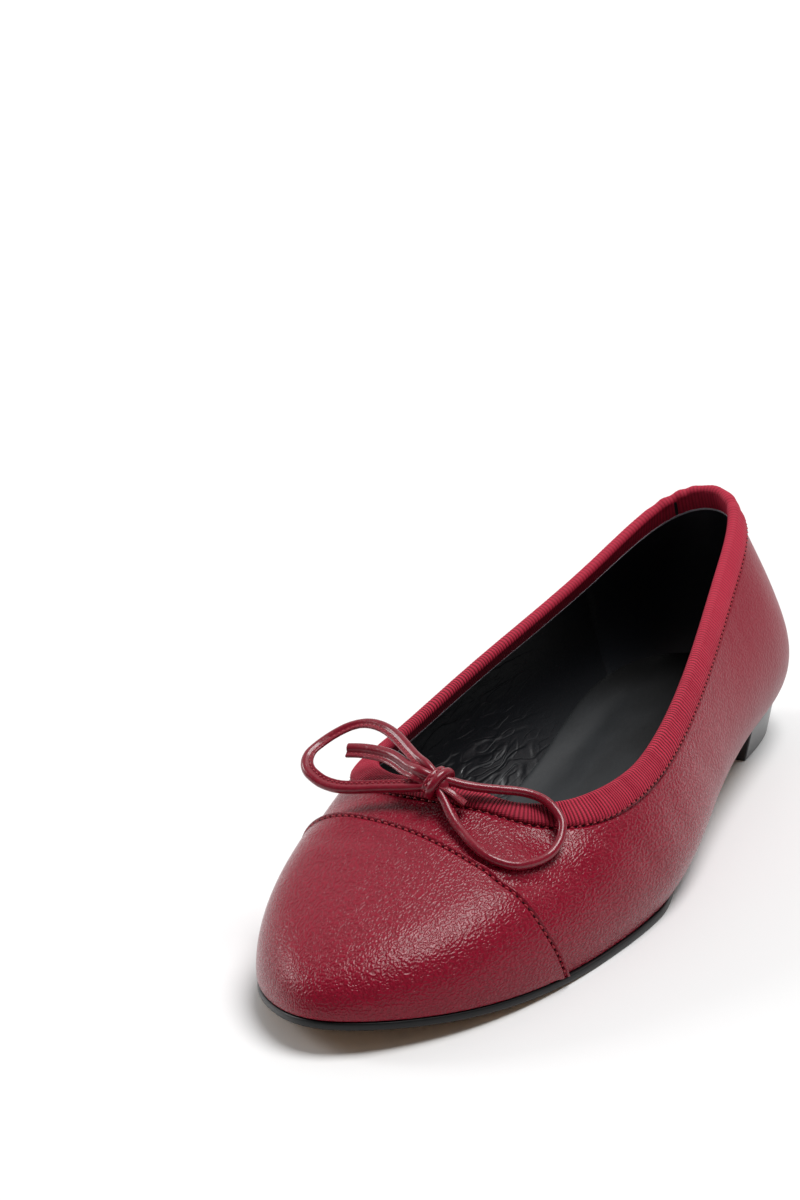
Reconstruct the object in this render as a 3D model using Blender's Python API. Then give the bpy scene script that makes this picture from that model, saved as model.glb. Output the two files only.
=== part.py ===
"""Ballet flat, a left shoe, built as separate solids.

Metres, +Z up, +X to the toe, +Y to the lateral side. The origin is on the floor, under
the middle of the heel. The form is worked out on the last first: there x is 0 at the
back of the seat, and every solid is moved back by heel_rest() when it is made.
"""
from collections import namedtuple
from math import cos, pi, radians, sin

import bmesh
import bpy
import numpy as np
from mathutils import Matrix, Vector

# Sizes of the last
LENGTH = 0.244             # seat to toe tip along the feather line
HEEL_WIDTH = 0.053
WAIST_WIDTH = 0.051
BALL_WIDTH = 0.077
TOE_WIDTH = 0.065
VAMP_LENGTH = 0.069        # throat to toe tip, along the floor
OPENING_WIDTH = 0.0675
HEEL_DEPTH = 0.050         # collar above the sole at the back
SIDE_DEPTH = 0.0345        # collar above the sole at the side
THROAT_DEPTH = 0.038       # collar above the sole at the throat

# Sizes of the sole and heel
SOLE_THICKNESS = 0.0020
EDGE_MARGIN = 0.0010       # how far the sole stands out past the upper's foot
EDGE_ROUND = 0.0004
HEEL_HEIGHT = 0.0110       # floor to the sole at the back
SEAT_PITCH = 0.04          # fall of the seat per length
HEEL_LENGTH = 0.0415
HEEL_TAPER = 0.0050        # how far the heel's foot is drawn in at each side
HEEL_RAKE = 0.0035         # how far its back is drawn in
BREAST_CURVE = 0.0018
TOE_SPRING = 0.0062
BALL_BACK = 0.60           # flat tread, as shares of the length
BALL_FRONT = 0.705

# Thickness of what is laid on the last
WALL = 0.0018
INSOLE_THICKNESS = 0.0018
INSOLE_DISH = 0.0006       # how much lower its middle lies
INSOLE_RIM = 0.0016        # where the dish begins, in from the insole's edge
INSOLE_BOWL = 0.0064       # where it reaches its full depth
CAP_THICKNESS = 0.0010
CAP_FOOT = 0.6             # share of the cap's thickness left at its foot
BINDING_THICKNESS = 0.0011
BINDING_DROP = 0.0062      # how far the binding comes down outside
BINDING_TURN = 0.0048      # how far it comes down inside
BINDING_CROWN = 0.00017    # how far its middle stands out past its lower edge
GAP = 0.0003

# Seam of the toe cap
CAP_LENGTH = 0.0484        # seam to toe tip on the centre line
SEAM_SKEW = 0.235          # how much further forward the seam runs per width
SEAM_DROOP = 0.0055        # how far its ends bend back
DROOP_SIDE = 0.0358        # the distance from the centre line where they have done so
CUTTER_SIDE = 0.046        # half width of the prism that cuts the cap
CUTTER_POINTS = 25

# Bow
CORD = 0.0025
KNOT_LENGTH = 0.0100       # along the vamp
KNOT_WIDTH = 0.0092
KNOT_HEIGHT = 0.0072
KNOT_SETBACK = 0.0045      # collar edge to the knot's middle
KNOT_SIDE = -0.0024        # the knot's middle across the throat
KNOT_TURN = 14.0           # degrees about its upright
WRAP_RISE = 0.10           # height of the raised turn, as a share of the knot's radius
WRAP_SIDE = 0.36           # its half width, as a share of KNOT_WIDTH

RIBS_ROUND = 96
OUTER_ROWS = 10
INNER_ROWS = 7
CAP_ROWS = 14
CORD_STEP = 2.0            # diameters between the points of a cord

BURGUNDY = (0.190, 0.009, 0.022)
BRIGHT_RED = (0.300, 0.012, 0.028)
BLACK = (0.012, 0.012, 0.014)
CHARCOAL = (0.020, 0.019, 0.020)

# One row for each rib of the last, from the back round the lateral side to the toe and
# home along the medial side. along is a share of LENGTH and side of half the width
# named next to it. collar_along is a share of the opening's length, collar_side of half
# OPENING_WIDTH, and rise of the depth named next to it. The belly and brow columns are
# the rib's lower and upper handles as shares of its span, and edge is a share of
# EDGE_MARGIN.
Rib = namedtuple(
    "Rib",
    "name along side width collar_along collar_side rise depth "
    "belly_out belly_up brow_out brow_down edge",
)
RIBS = [
    Rib("heel_back", 0.002, 0.00, HEEL_WIDTH, 0.027, 0.00, 1.00, HEEL_DEPTH, 0.14, 0.28, 0.05, 0.31, 0.8),
    Rib("heel_lateral", 0.030, 0.71, HEEL_WIDTH, 0.072, 0.33, 0.97, HEEL_DEPTH, 0.16, 0.28, 0.11, 0.31, 0.8),
    Rib("seat_lateral", 0.147, 1.00, HEEL_WIDTH, 0.248, 0.56, 0.83, HEEL_DEPTH, 0.22, 0.28, 0.17, 0.31, 0.2),
    Rib("waist_lateral", 0.368, 1.17, WAIST_WIDTH, 0.522, 0.85, 1.08, SIDE_DEPTH, 0.33, 0.24, 0.16, 0.34, 0.4),
    Rib("joint_lateral", 0.552, 1.01, BALL_WIDTH, 0.762, 1.00, 1.01, SIDE_DEPTH, 0.23, 0.28, 0.19, 0.29, 0.6),
    Rib("ball_lateral", 0.696, 0.975, BALL_WIDTH, 0.917, 0.90, 0.96, SIDE_DEPTH, 0.11, 0.33, 0.26, 0.22, 0.7),
    Rib("toe_lateral", 0.843, 0.885, TOE_WIDTH, 0.988, 0.54, 0.88, THROAT_DEPTH, 0.045, 0.25, 0.42, 0.21, 1.1),
    Rib("corner_lateral", 0.950, 0.42, TOE_WIDTH, 1.000, 0.24, 0.94, THROAT_DEPTH, 0.03, 0.18, 0.56, 0.20, 1.2),
    Rib("toe_tip", 1.000, -0.18, TOE_WIDTH, 1.001, -0.03, 1.00, THROAT_DEPTH, 0.025, 0.17, 0.56, 0.20, 1.2),
    Rib("corner_medial", 0.966, -0.66, TOE_WIDTH, 0.999, -0.33, 1.00, THROAT_DEPTH, 0.025, 0.17, 0.54, 0.17, 1.2),
    Rib("toe_medial", 0.881, -1.07, TOE_WIDTH, 0.980, -0.62, 0.97, THROAT_DEPTH, 0.025, 0.21, 0.39, 0.15, 1.1),
    Rib("ball_medial", 0.746, -0.99, BALL_WIDTH, 0.915, -0.92, 1.03, SIDE_DEPTH, 0.09, 0.28, 0.24, 0.15, 0.7),
    Rib("joint_medial", 0.574, -0.81, BALL_WIDTH, 0.766, -1.01, 0.99, SIDE_DEPTH, 0.23, 0.28, 0.20, 0.28, 0.6),
    Rib("waist_medial", 0.377, -0.82, WAIST_WIDTH, 0.526, -0.88, 1.02, SIDE_DEPTH, 0.39, 0.28, 0.20, 0.34, 0.4),
    Rib("seat_medial", 0.148, -0.96, HEEL_WIDTH, 0.241, -0.60, 0.79, HEEL_DEPTH, 0.23, 0.31, 0.15, 0.36, 0.2),
    Rib("heel_medial", 0.031, -0.69, HEEL_WIDTH, 0.069, -0.34, 0.94, HEEL_DEPTH, 0.16, 0.30, 0.08, 0.34, 0.8),
]

# Routes of the string from the knot's middle, in metres, chosen by hand
LOOP_LATERAL = [
    (-0.0020, 0.0054, -0.0005), (-0.0036, 0.0090, -0.0015), (-0.0063, 0.0131, -0.0026),
    (-0.0089, 0.0171, -0.0036), (-0.0100, 0.0205, -0.0046), (-0.0095, 0.0241, -0.0058),
    (-0.0079, 0.0272, -0.0075), (-0.0059, 0.0293, -0.0095), (-0.0027, 0.0301, -0.0118),
    (0.0011, 0.0299, -0.0134), (0.0047, 0.0288, -0.0142), (0.0091, 0.0269, -0.0141),
    (0.0123, 0.0244, -0.0136), (0.0137, 0.0212, -0.0125), (0.0135, 0.0179, -0.0113),
    (0.0116, 0.0139, -0.0097), (0.0091, 0.0103, -0.0081), (0.0065, 0.0067, -0.0059),
    (0.0037, 0.0037, -0.0033),
]
LOOP_MEDIAL = [
    (-0.0027, -0.0043, 0.0030), (-0.0046, -0.0074, 0.0038), (-0.0075, -0.0108, 0.0046),
    (-0.0109, -0.0149, 0.0058), (-0.0135, -0.0187, 0.0065), (-0.0150, -0.0221, 0.0068),
    (-0.0159, -0.0252, 0.0066), (-0.0160, -0.0280, 0.0060), (-0.0152, -0.0305, 0.0052),
    (-0.0138, -0.0326, 0.0042), (-0.0118, -0.0345, 0.0031), (-0.0094, -0.0360, 0.0020),
    (-0.0069, -0.0368, 0.0012), (-0.0048, -0.0368, 0.0004), (-0.0029, -0.0362, -0.0004),
    (-0.0013, -0.0350, -0.0013), (0.0000, -0.0330, -0.0021), (0.0012, -0.0299, -0.0030),
    (0.0021, -0.0254, -0.0033), (0.0020, -0.0202, -0.0029), (0.0015, -0.0150, -0.0023),
    (0.0013, -0.0098, -0.0017), (0.0012, -0.0054, -0.0011),
]
TAIL_MEDIAL = [
    (0.0000, -0.0050, 0.0020), (-0.0024, -0.0088, 0.0019), (-0.0054, -0.0127, 0.0022),
    (-0.0075, -0.0164, 0.0024), (-0.0089, -0.0209, 0.0023), (-0.0097, -0.0246, 0.0020),
    (-0.0099, -0.0281, 0.0016),
]
TAIL_LATERAL = [(0.0012, 0.0050, -0.0016), (0.0008, 0.0072, -0.0027), (0.0002, 0.0091, -0.0036)]


def clear_scene():
    for item in list(bpy.data.objects):
        bpy.data.objects.remove(item, do_unlink=True)


def leather(name, colour, roughness):
    finish = bpy.data.materials.new(name)
    finish.use_nodes = True
    shader = finish.node_tree.nodes["Principled BSDF"]
    shader.inputs["Base Color"].default_value = (*colour, 1.0)
    shader.inputs["Roughness"].default_value = roughness
    shader.inputs["Metallic"].default_value = 0.0
    return finish


def heel_rest():
    """Distance from the last's zero to the middle of the heel's flat foot."""
    return (HEEL_LENGTH + HEEL_RAKE) / 2


def tread(x):
    """Height of the sole's underside: seat, arch, flat tread and toe spring."""
    back, front = BALL_BACK * LENGTH, BALL_FRONT * LENGTH
    seat = HEEL_HEIGHT - SEAT_PITCH * x
    run = back - HEEL_LENGTH
    t = np.clip((x - HEEL_LENGTH) / run, 0, 1)
    breast = HEEL_HEIGHT - SEAT_PITCH * HEEL_LENGTH
    arch = breast * (2 * t**3 - 3 * t**2 + 1) - SEAT_PITCH * run * (t**3 - 2 * t**2 + t)
    spring = TOE_SPRING * np.clip((x - front) / (LENGTH - front), 0, 2) ** 2
    return np.where(x < HEEL_LENGTH, seat, arch) + spring


def deck(x):
    """Height of the sole's top."""
    return tread(x) + SOLE_THICKNESS


def rib_sizes():
    """The table's rows in metres: foot x, y, collar x, y, z, four handles, edge."""
    rows = []
    for rib in RIBS:
        foot_x, foot_y = rib.along * LENGTH, rib.side * rib.width / 2
        collar_x = rib.collar_along * (LENGTH - VAMP_LENGTH)
        collar_y = rib.collar_side * OPENING_WIDTH / 2
        collar_z = deck(collar_x) + rib.rise * rib.depth
        foot = np.array([foot_x, foot_y, deck(foot_x)])
        span = np.linalg.norm(np.array([collar_x, collar_y, collar_z]) - foot)
        shares = (rib.belly_out, rib.belly_up, rib.brow_out, rib.brow_down)
        handles = [span * share for share in shares]
        rows.append([foot_x, foot_y, collar_x, collar_y, collar_z, *handles, rib.edge * EDGE_MARGIN])
    return np.array(rows)


def ring_spline(rows, steps):
    """A closed cubic spline through the rows and the lengths of its spans."""
    count = len(rows)
    bend = np.zeros((count, count))
    pull = np.zeros_like(rows)
    for i in range(count):
        before, after = (i - 1) % count, (i + 1) % count
        bend[i, before] += steps[before]
        bend[i, i] += 2 * (steps[before] + steps[i])
        bend[i, after] += steps[i]
        rise = (rows[after] - rows[i]) / steps[i]
        pull[i] = 6 * (rise - (rows[i] - rows[before]) / steps[before])
    curve = np.linalg.solve(bend, pull)

    def read(place):
        ends = np.concatenate([[0.0], np.cumsum(steps)])
        place = np.mod(place, ends[-1])
        i = np.clip(np.searchsorted(ends, place, side="right") - 1, 0, count - 1)
        after = (i + 1) % count
        b = ((place - ends[i]) / steps[i])[:, None]
        a = 1 - b
        sag = (a**3 - a) * curve[i] + (b**3 - b) * curve[after]
        return a * rows[i] + b * rows[after] + sag * steps[i][:, None] ** 2 / 6

    return read


def last_ribs(count):
    """Ribs evenly spaced along the foot line, with the foot's outward direction."""
    rows = rib_sizes()
    feet = rows[:, :2]
    steps = np.sqrt(np.linalg.norm(np.roll(feet, -1, axis=0) - feet, axis=1))
    read = ring_spline(rows, steps)
    fine = np.linspace(0, steps.sum(), 16 * count + 1)
    line = read(fine)[:, :2]
    walked = np.linalg.norm(np.diff(line, axis=0), axis=1)
    walked = np.concatenate([[0.0], np.cumsum(walked)])
    place = np.interp(np.arange(count) / count * walked[-1], walked, fine)
    nudge = steps.sum() * 1e-5
    way = read(place + nudge)[:, :2] - read(place - nudge)[:, :2]
    way /= np.linalg.norm(way, axis=1)[:, None]
    outward = np.column_stack([-way[:, 1], way[:, 0]])
    return read(place), outward


def skin(ribs, outward, shares):
    """Points and outward normals of the upper's outer face at shares up each rib."""
    up = np.array([0.0, 0.0, 1.0])
    side = np.column_stack([outward, np.zeros(len(outward))])
    foot = np.column_stack([ribs[:, :2], deck(ribs[:, 0]) + GAP])
    collar = ribs[:, 2:5]
    low = foot + side * ribs[:, 5:6] + up * ribs[:, 6:7]
    high = collar + side * ribs[:, 7:8] - up * ribs[:, 8:9]
    v = np.asarray(shares)[None, :, None]
    ends = (1 - v) ** 3 * foot[:, None] + v**3 * collar[:, None]
    points = ends + 3 * (1 - v) * v * ((1 - v) * low[:, None] + v * high[:, None])
    rise = (1 - v) ** 2 * (low - foot)[:, None] + 2 * (1 - v) * v * (high - low)[:, None]
    rise += v**2 * (collar - high)[:, None]
    along = np.roll(points, -1, axis=0) - np.roll(points, 1, axis=0)
    normal = np.cross(rise, along)
    normal /= np.linalg.norm(normal, axis=2)[..., None]
    return points, normal


def foot_row(ribs, outward, offset, lift):
    """The ribs' feet moved outward and set at a height above the sole's top."""
    flat = ribs[:, :2] + outward * offset
    return np.column_stack([flat, deck(flat[:, 0]) + lift])


def down_from_collar(ribs, outward, drops):
    """Points and normals of the outer face at distances down from the collar."""
    shares = np.linspace(1, 0, 61)
    points, normal = skin(ribs, outward, shares)
    steps = np.linalg.norm(np.diff(points, axis=1), axis=2)
    walked = np.concatenate([np.zeros((len(ribs), 1)), np.cumsum(steps, axis=1)], axis=1)
    spots = np.empty((len(ribs), len(drops), 3))
    faces = np.empty_like(spots)
    for i in range(len(ribs)):
        for axis in range(3):
            spots[i, :, axis] = np.interp(drops, walked[i], points[i, :, axis])
            faces[i, :, axis] = np.interp(drops, walked[i], normal[i, :, axis])
    return spots, faces


def make_object(name, mesh_data, finish):
    item = bpy.data.objects.new(name, mesh_data)
    bpy.context.scene.collection.objects.link(item)
    mesh_data.materials.append(finish)
    return item


def close_mesh(shape, name, finish):
    """Face the mesh outwards, set it over the origin and make its object."""
    bmesh.ops.recalc_face_normals(shape, faces=shape.faces)
    bmesh.ops.translate(shape, verts=shape.verts, vec=(-heel_rest(), 0, 0))
    mesh_data = bpy.data.meshes.new(name)
    shape.to_mesh(mesh_data)
    shape.free()
    mesh_data.shade_smooth()
    mesh_data.set_sharp_from_angle(angle=radians(40))
    return make_object(name, mesh_data, finish)


def hoop(name, sections, finish):
    """A closed hoop through sections, each a closed loop of the same number of points."""
    shape = bmesh.new()
    grid = [[shape.verts.new(point) for point in section] for section in sections]
    for i, here in enumerate(grid):
        ahead = grid[(i + 1) % len(grid)]
        for j in range(len(here)):
            k = (j + 1) % len(here)
            shape.faces.new((here[j], ahead[j], ahead[k], here[k]))
    return close_mesh(shape, name, finish)


def bridge_across(shape, ring):
    """Close a ring with strips that run from its lateral to its medial side."""
    last = len(ring) // 2
    shape.faces.new((ring[0], ring[1], ring[-1]))
    for k in range(1, last - 1):
        shape.faces.new((ring[k], ring[k + 1], ring[-k - 1], ring[-k]))
    shape.faces.new((ring[last - 1], ring[last], ring[last + 1]))


def slab(name, rings, finish):
    """A plate whose rings run from the middle of its top over its edge to its underside."""
    shape = bmesh.new()
    grid = [[shape.verts.new(point) for point in ring] for ring in rings]
    for inner, outer in zip(grid, grid[1:]):
        for k in range(len(inner)):
            after = (k + 1) % len(inner)
            shape.faces.new((inner[k], inner[after], outer[after], outer[k]))
    bridge_across(shape, grid[0])
    bridge_across(shape, grid[-1])
    return close_mesh(shape, name, finish)


def upper(ribs, outward, finish):
    outer, _ = skin(ribs, outward, np.linspace(0, 1, OUTER_ROWS + 1))
    faces, normal = skin(ribs, outward, np.linspace(1, 0, INNER_ROWS + 1)[:-1])
    inner = faces - normal * WALL
    corner = foot_row(ribs, outward, -WALL, GAP)[:, None]
    return hoop("upper", np.concatenate([outer, inner, corner], axis=1), finish)


def outsole(ribs, outward, finish):
    edge = ribs[:, 9:10]
    thick = SOLE_THICKNESS
    rings = [
        foot_row(ribs, outward, edge - EDGE_ROUND, 0.0),
        foot_row(ribs, outward, edge, -EDGE_ROUND),
        foot_row(ribs, outward, edge, EDGE_ROUND - thick),
        foot_row(ribs, outward, edge - EDGE_ROUND, -thick),
    ]
    return slab("outsole", rings, finish)


def insole(ribs, outward, finish):
    side = -(WALL + GAP)
    top = GAP + INSOLE_THICKNESS
    rings = [
        foot_row(ribs, outward, side - INSOLE_BOWL, top - INSOLE_DISH),
        foot_row(ribs, outward, side - INSOLE_RIM, top - INSOLE_DISH / 2),
        foot_row(ribs, outward, side - EDGE_ROUND, top),
        foot_row(ribs, outward, side, top - EDGE_ROUND),
        foot_row(ribs, outward, side, GAP),
    ]
    return slab("insole", rings, finish)


def heel_outline(ribs, outward):
    """The seat's outline from its lateral to its medial corner, cut at the breast."""
    line = ribs[:, :2] + outward * ribs[:, 9:10]
    half = len(line) // 2
    lateral, medial = line[: half // 2], np.roll(line[::-1], 1, axis=0)[: half // 2]
    sides = []
    for side in (lateral, medial):
        kept = side[side[:, 0] < HEEL_LENGTH - EDGE_MARGIN]
        width = np.interp(HEEL_LENGTH, side[:, 0], side[:, 1])
        sides.append(np.vstack([kept, [HEEL_LENGTH, width]]))
    return np.vstack([sides[0][::-1], sides[1][1:]])


def breast_line(left, right):
    """Points across the heel's breast, drawn back in the middle."""
    shares = np.linspace(0, 1, 7)[1:-1]
    across = [left + (right - left) * share for share in shares]
    return [(x - BREAST_CURVE * sin(pi * share), y) for (x, y), share in zip(across, shares)]


def heel(ribs, outward, finish):
    line = heel_outline(ribs, outward)
    line = np.vstack([line, breast_line(line[-1], line[0])])
    narrow = 1 - HEEL_TAPER / (HEEL_WIDTH / 2)
    short = 1 - HEEL_RAKE / HEEL_LENGTH
    shape = bmesh.new()
    top, foot = [], []
    for x, y in line:
        foot_x = HEEL_LENGTH - (HEEL_LENGTH - x) * short
        top.append(shape.verts.new((x, y, tread(x) - GAP)))
        foot.append(shape.verts.new((foot_x, y * narrow, 0.0)))
    for k in range(len(line)):
        after = (k + 1) % len(line)
        shape.faces.new((top[k], top[after], foot[after], foot[k]))
    shape.faces.new(top)
    shape.faces.new(foot)
    return close_mesh(shape, "heel", finish)


def seam_x(y):
    """Where the toe cap's seam crosses the last, as x for each y."""
    droop = SEAM_DROOP * (y / DROOP_SIDE) ** 4
    return LENGTH - CAP_LENGTH + SEAM_SKEW * y - droop


def cap_cutter(finish):
    """A prism that holds everything in front of the toe cap's seam."""
    front = LENGTH + CAP_LENGTH
    line = [(seam_x(y), y) for y in np.linspace(-CUTTER_SIDE, CUTTER_SIDE, CUTTER_POINTS)]
    line += [(front, CUTTER_SIDE), (front, -CUTTER_SIDE)]
    shape = bmesh.new()
    floor = shape.faces.new([shape.verts.new((x, y, -GAP)) for x, y in line])
    risen = bmesh.ops.extrude_face_region(shape, geom=[floor])["geom"]
    tops = [item for item in risen if isinstance(item, bmesh.types.BMVert)]
    bmesh.ops.translate(shape, verts=tops, vec=(0, 0, 2 * THROAT_DEPTH))
    cutter = close_mesh(shape, "cap_cutter", finish)
    cutter.hide_render = True
    cutter.display_type = "WIRE"
    return cutter


def toe_cap(ribs, outward, finish):
    """The overlay: a shell over the whole upper, kept only in front of the seam."""
    outer, normal = skin(ribs, outward, np.linspace(0, 0.9, CAP_ROWS))
    far = outer + normal * (GAP + CAP_THICKNESS)
    near = (outer + normal * GAP)[:, ::-1]
    far[:, 0] = foot_row(ribs, outward, GAP + CAP_THICKNESS * CAP_FOOT, GAP)
    near[:, -1] = foot_row(ribs, outward, GAP, GAP)
    cap = hoop("toe_cap", np.concatenate([far, near], axis=1), finish)
    trim = cap.modifiers.new("seam", "BOOLEAN")
    trim.operation = "INTERSECT"
    trim.solver = "EXACT"
    trim.object = cap_cutter(finish)
    return cap


def binding(ribs, outward, finish):
    """The folded ribbon: down the outside, over the collar's edge and down the inside."""
    near, far = GAP, GAP + BINDING_THICKNESS
    crown = BINDING_CROWN
    outside = [(BINDING_DROP, near), (BINDING_DROP, far - crown), (BINDING_DROP / 2, far + crown), (0.0, far)]
    radius = WALL / 2 + far
    bends = [radians(angle) for angle in (35, 70, 110, 145)]
    fold = [(-radius * sin(bend), radius * cos(bend) - WALL / 2) for bend in bends]
    inside = [(drop, -WALL - far) for drop in (0.0, BINDING_TURN / 2, BINDING_TURN)]
    lining = [(drop, -WALL - near) for drop in (BINDING_TURN, BINDING_TURN / 2, 0.0)]
    throat = [(-near, -WALL), (-near, 0.0), (0.0, near), (BINDING_DROP / 2, near)]
    section = outside + fold + inside + lining + throat
    drops = np.array([max(drop, 0.0) for drop, _ in section])
    spots, faces = down_from_collar(ribs, outward, drops)
    edge, below = down_from_collar(ribs, outward, np.array([0.0, WALL]))[0].transpose(1, 0, 2)
    upward = edge - below
    upward /= np.linalg.norm(upward, axis=1)[:, None]
    for j, (drop, out) in enumerate(section):
        spots[:, j] += faces[:, j] * out + upward * max(-drop, 0.0)
    return hoop("binding", spots, finish)


def knot_middle():
    """The knot's middle, on the binding at the throat, and the vamp's normal there."""
    spots, faces = down_from_collar(*last_ribs(8 * RIBS_ROUND), np.array([KNOT_SETBACK]))
    behind = spots[:, 0, 0] < LENGTH / 2
    front = np.argmin(np.abs(spots[:, 0, 1] - KNOT_SIDE) + behind)
    lift = GAP + BINDING_THICKNESS + BINDING_CROWN + GAP + KNOT_HEIGHT / 2
    middle = spots[front, 0] + faces[front, 0] * lift - np.array([heel_rest(), 0, 0])
    return Vector(middle), Vector(faces[front, 0])


def bow_knot(middle, normal, finish):
    """A squat knot with one raised turn of string across its middle."""
    shape = bmesh.new()
    bmesh.ops.create_uvsphere(shape, u_segments=20, v_segments=12, radius=0.5)
    for point in shape.verts:
        turn = 1 + WRAP_RISE * cos(pi * min(abs(point.co.y) / WRAP_SIDE, 1.0))
        point.co = Vector((point.co.x * turn, point.co.y, point.co.z * turn)) / (1 + WRAP_RISE)
    tilt = Vector((0, 0, 1)).rotation_difference(normal).to_matrix().to_4x4()
    size = Matrix.Diagonal((KNOT_LENGTH, KNOT_WIDTH, KNOT_HEIGHT, 1.0))
    spin = Matrix.Rotation(radians(KNOT_TURN), 4, "Z")
    bmesh.ops.transform(shape, matrix=tilt @ spin @ size, verts=shape.verts)
    bmesh.ops.translate(shape, verts=shape.verts, vec=middle + Vector((heel_rest(), 0, 0)))
    return close_mesh(shape, "bow_knot", finish)


def smooth_route(points, step):
    """Evenly spaced points on a smooth open curve through a route's points."""
    route = np.array(points)
    ends = np.vstack([2 * route[0] - route[1], route, 2 * route[-1] - route[-2]])
    fine = []
    for a, b, c, d in zip(ends, ends[1:], ends[2:], ends[3:]):
        for t in np.linspace(0, 1, 12, endpoint=False):
            square = (2 * a - 5 * b + 4 * c - d) * t**2
            cube = (3 * b - a - 3 * c + d) * t**3
            fine.append((2 * b + (c - a) * t + square + cube) / 2)
    fine = np.array(fine + [route[-1]])
    walked = np.concatenate([[0.0], np.cumsum(np.linalg.norm(np.diff(fine, axis=0), axis=1))])
    count = max(3, round(walked[-1] / step) + 1)
    places = np.linspace(0, walked[-1], count)
    return np.column_stack([np.interp(places, walked, fine[:, axis]) for axis in range(3)])


def string(name, route, middle, finish):
    """A round tube along one stretch of the bow's string."""
    line = bpy.data.curves.new(name, "CURVE")
    line.dimensions = "3D"
    line.bevel_depth = CORD / 2
    line.bevel_resolution = 2
    line.use_fill_caps = True
    points = smooth_route(route, CORD_STEP * CORD)
    spline = line.splines.new("POLY")
    spline.points.add(len(points) - 1)
    for knot, point in zip(spline.points, points):
        knot.co = (*(Vector(point) + middle), 1.0)
    return make_object(name, line, finish)


def build():
    clear_scene()
    vamp_leather = leather("upper_leather", BURGUNDY, 0.42)
    string_leather = leather("string_leather", BURGUNDY, 0.38)
    ribbon = leather("binding_grosgrain", BRIGHT_RED, 0.70)
    lining = leather("lining_leather", BLACK, 0.45)
    sole_leather = leather("sole_edge", BLACK, 0.40)
    heel_block = leather("heel_block", CHARCOAL, 0.50)
    ribs, outward = last_ribs(RIBS_ROUND)
    outsole(ribs, outward, sole_leather)
    heel(ribs, outward, heel_block)
    insole(ribs, outward, lining)
    upper(ribs, outward, vamp_leather)
    binding(ribs, outward, ribbon)
    toe_cap(ribs, outward, vamp_leather)
    middle, normal = knot_middle()
    bow_knot(middle, normal, string_leather)
    string("bow_loop_lateral", LOOP_LATERAL, middle, string_leather)
    string("bow_loop_medial", LOOP_MEDIAL, middle, string_leather)
    string("bow_tail_medial", TAIL_MEDIAL, middle, string_leather)
    string("bow_tail_lateral", TAIL_LATERAL, middle, string_leather)


build()
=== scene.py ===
"""The looks of a left ballet flat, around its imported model.

Metres, +Z up, +X to the toe, +Y to the lateral side. The form is worked out on the last,
where x is 0 at the back of the seat, and each piece is then moved back by heel_rest().
"""

from collections import namedtuple
from math import cos, pi, radians, sin, tau

import bmesh
import bpy
import numpy as np
from bpy.props import FloatProperty, FloatVectorProperty, PointerProperty
from mathutils import Matrix, Vector


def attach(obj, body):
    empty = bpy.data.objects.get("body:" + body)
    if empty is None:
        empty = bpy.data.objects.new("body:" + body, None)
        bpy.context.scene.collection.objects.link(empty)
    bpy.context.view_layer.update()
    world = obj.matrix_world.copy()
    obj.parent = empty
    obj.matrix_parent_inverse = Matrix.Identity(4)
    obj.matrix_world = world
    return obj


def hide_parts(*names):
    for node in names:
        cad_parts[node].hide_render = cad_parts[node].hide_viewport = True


bl_info = {
    "name": "Ballet Flat",
    "version": (1, 0, 0),
    "blender": (4, 5, 0),
    "location": "View3D > Sidebar > Ballet Flat",
    "description": "Leather, binding, lining, sole and bow of a left ballet flat",
    "category": "Object",
}

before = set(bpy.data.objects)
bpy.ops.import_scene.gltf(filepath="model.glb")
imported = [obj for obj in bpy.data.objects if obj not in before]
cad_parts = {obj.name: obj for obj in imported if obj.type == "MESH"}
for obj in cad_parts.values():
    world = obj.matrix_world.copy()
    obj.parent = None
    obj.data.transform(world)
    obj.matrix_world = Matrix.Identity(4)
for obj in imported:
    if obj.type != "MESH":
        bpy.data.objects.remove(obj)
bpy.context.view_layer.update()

# The last, as in the part
LENGTH = 0.244
HEEL_WIDTH = 0.053
WAIST_WIDTH = 0.051
BALL_WIDTH = 0.077
TOE_WIDTH = 0.065
VAMP_LENGTH = 0.069
OPENING_WIDTH = 0.0675
HEEL_DEPTH = 0.050
SIDE_DEPTH = 0.0345
THROAT_DEPTH = 0.038
SOLE_THICKNESS = 0.0020
EDGE_MARGIN = 0.0010
HEEL_HEIGHT = 0.0110
SEAT_PITCH = 0.04
HEEL_LENGTH = 0.0415
HEEL_RAKE = 0.0035
BREAST_CURVE = 0.0018
TOE_SPRING = 0.0062
BALL_BACK = 0.60
BALL_FRONT = 0.705
WALL = 0.0018
INSOLE_THICKNESS = 0.0018
CAP_THICKNESS = 0.0010
CAP_FOOT = 0.6
GAP = 0.0003
# The cap's row of stitches: x as a polynomial of the way across the toe in 40 mm
SEAM_LINE = (-0.006865, -0.004200, 0.001827, 0.012132, 0.171301)
SEAM_SPAN = 0.040
SEAM_WALL = 0.025
SEAM_LEAN = 0.55
SEAM_EDGE = 0.0013
# The ribbon as it shows: its drop outside, its turn inside, and its two faces' height
RIBBON_DROP = 0.0052
RIBBON_TURN = 0.0044
RIBBON_OUT = 0.00075
RIBBON_LIFT = 0.0011
SOLE_TUCK = 0.0021
HEEL_TOP_IN = 0.0020
HEEL_FOOT_IN = 0.0043
HEEL_SOFTENING = 0.0004
# The ribbon's stitches: below its edge, where they draw the leather in, or above it
STITCH_BELOW = 0.00035
STITCH_ABOVE = 0.00045
STITCH_DRAW, STITCH_DRAW_WIDTH = 0.00032, 0.00042
RIBBON_THREAD_OUT, LEATHER_THREAD_IN, CAP_THREAD_OUT = 0.00024, 0.00012, 0.00034
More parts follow.
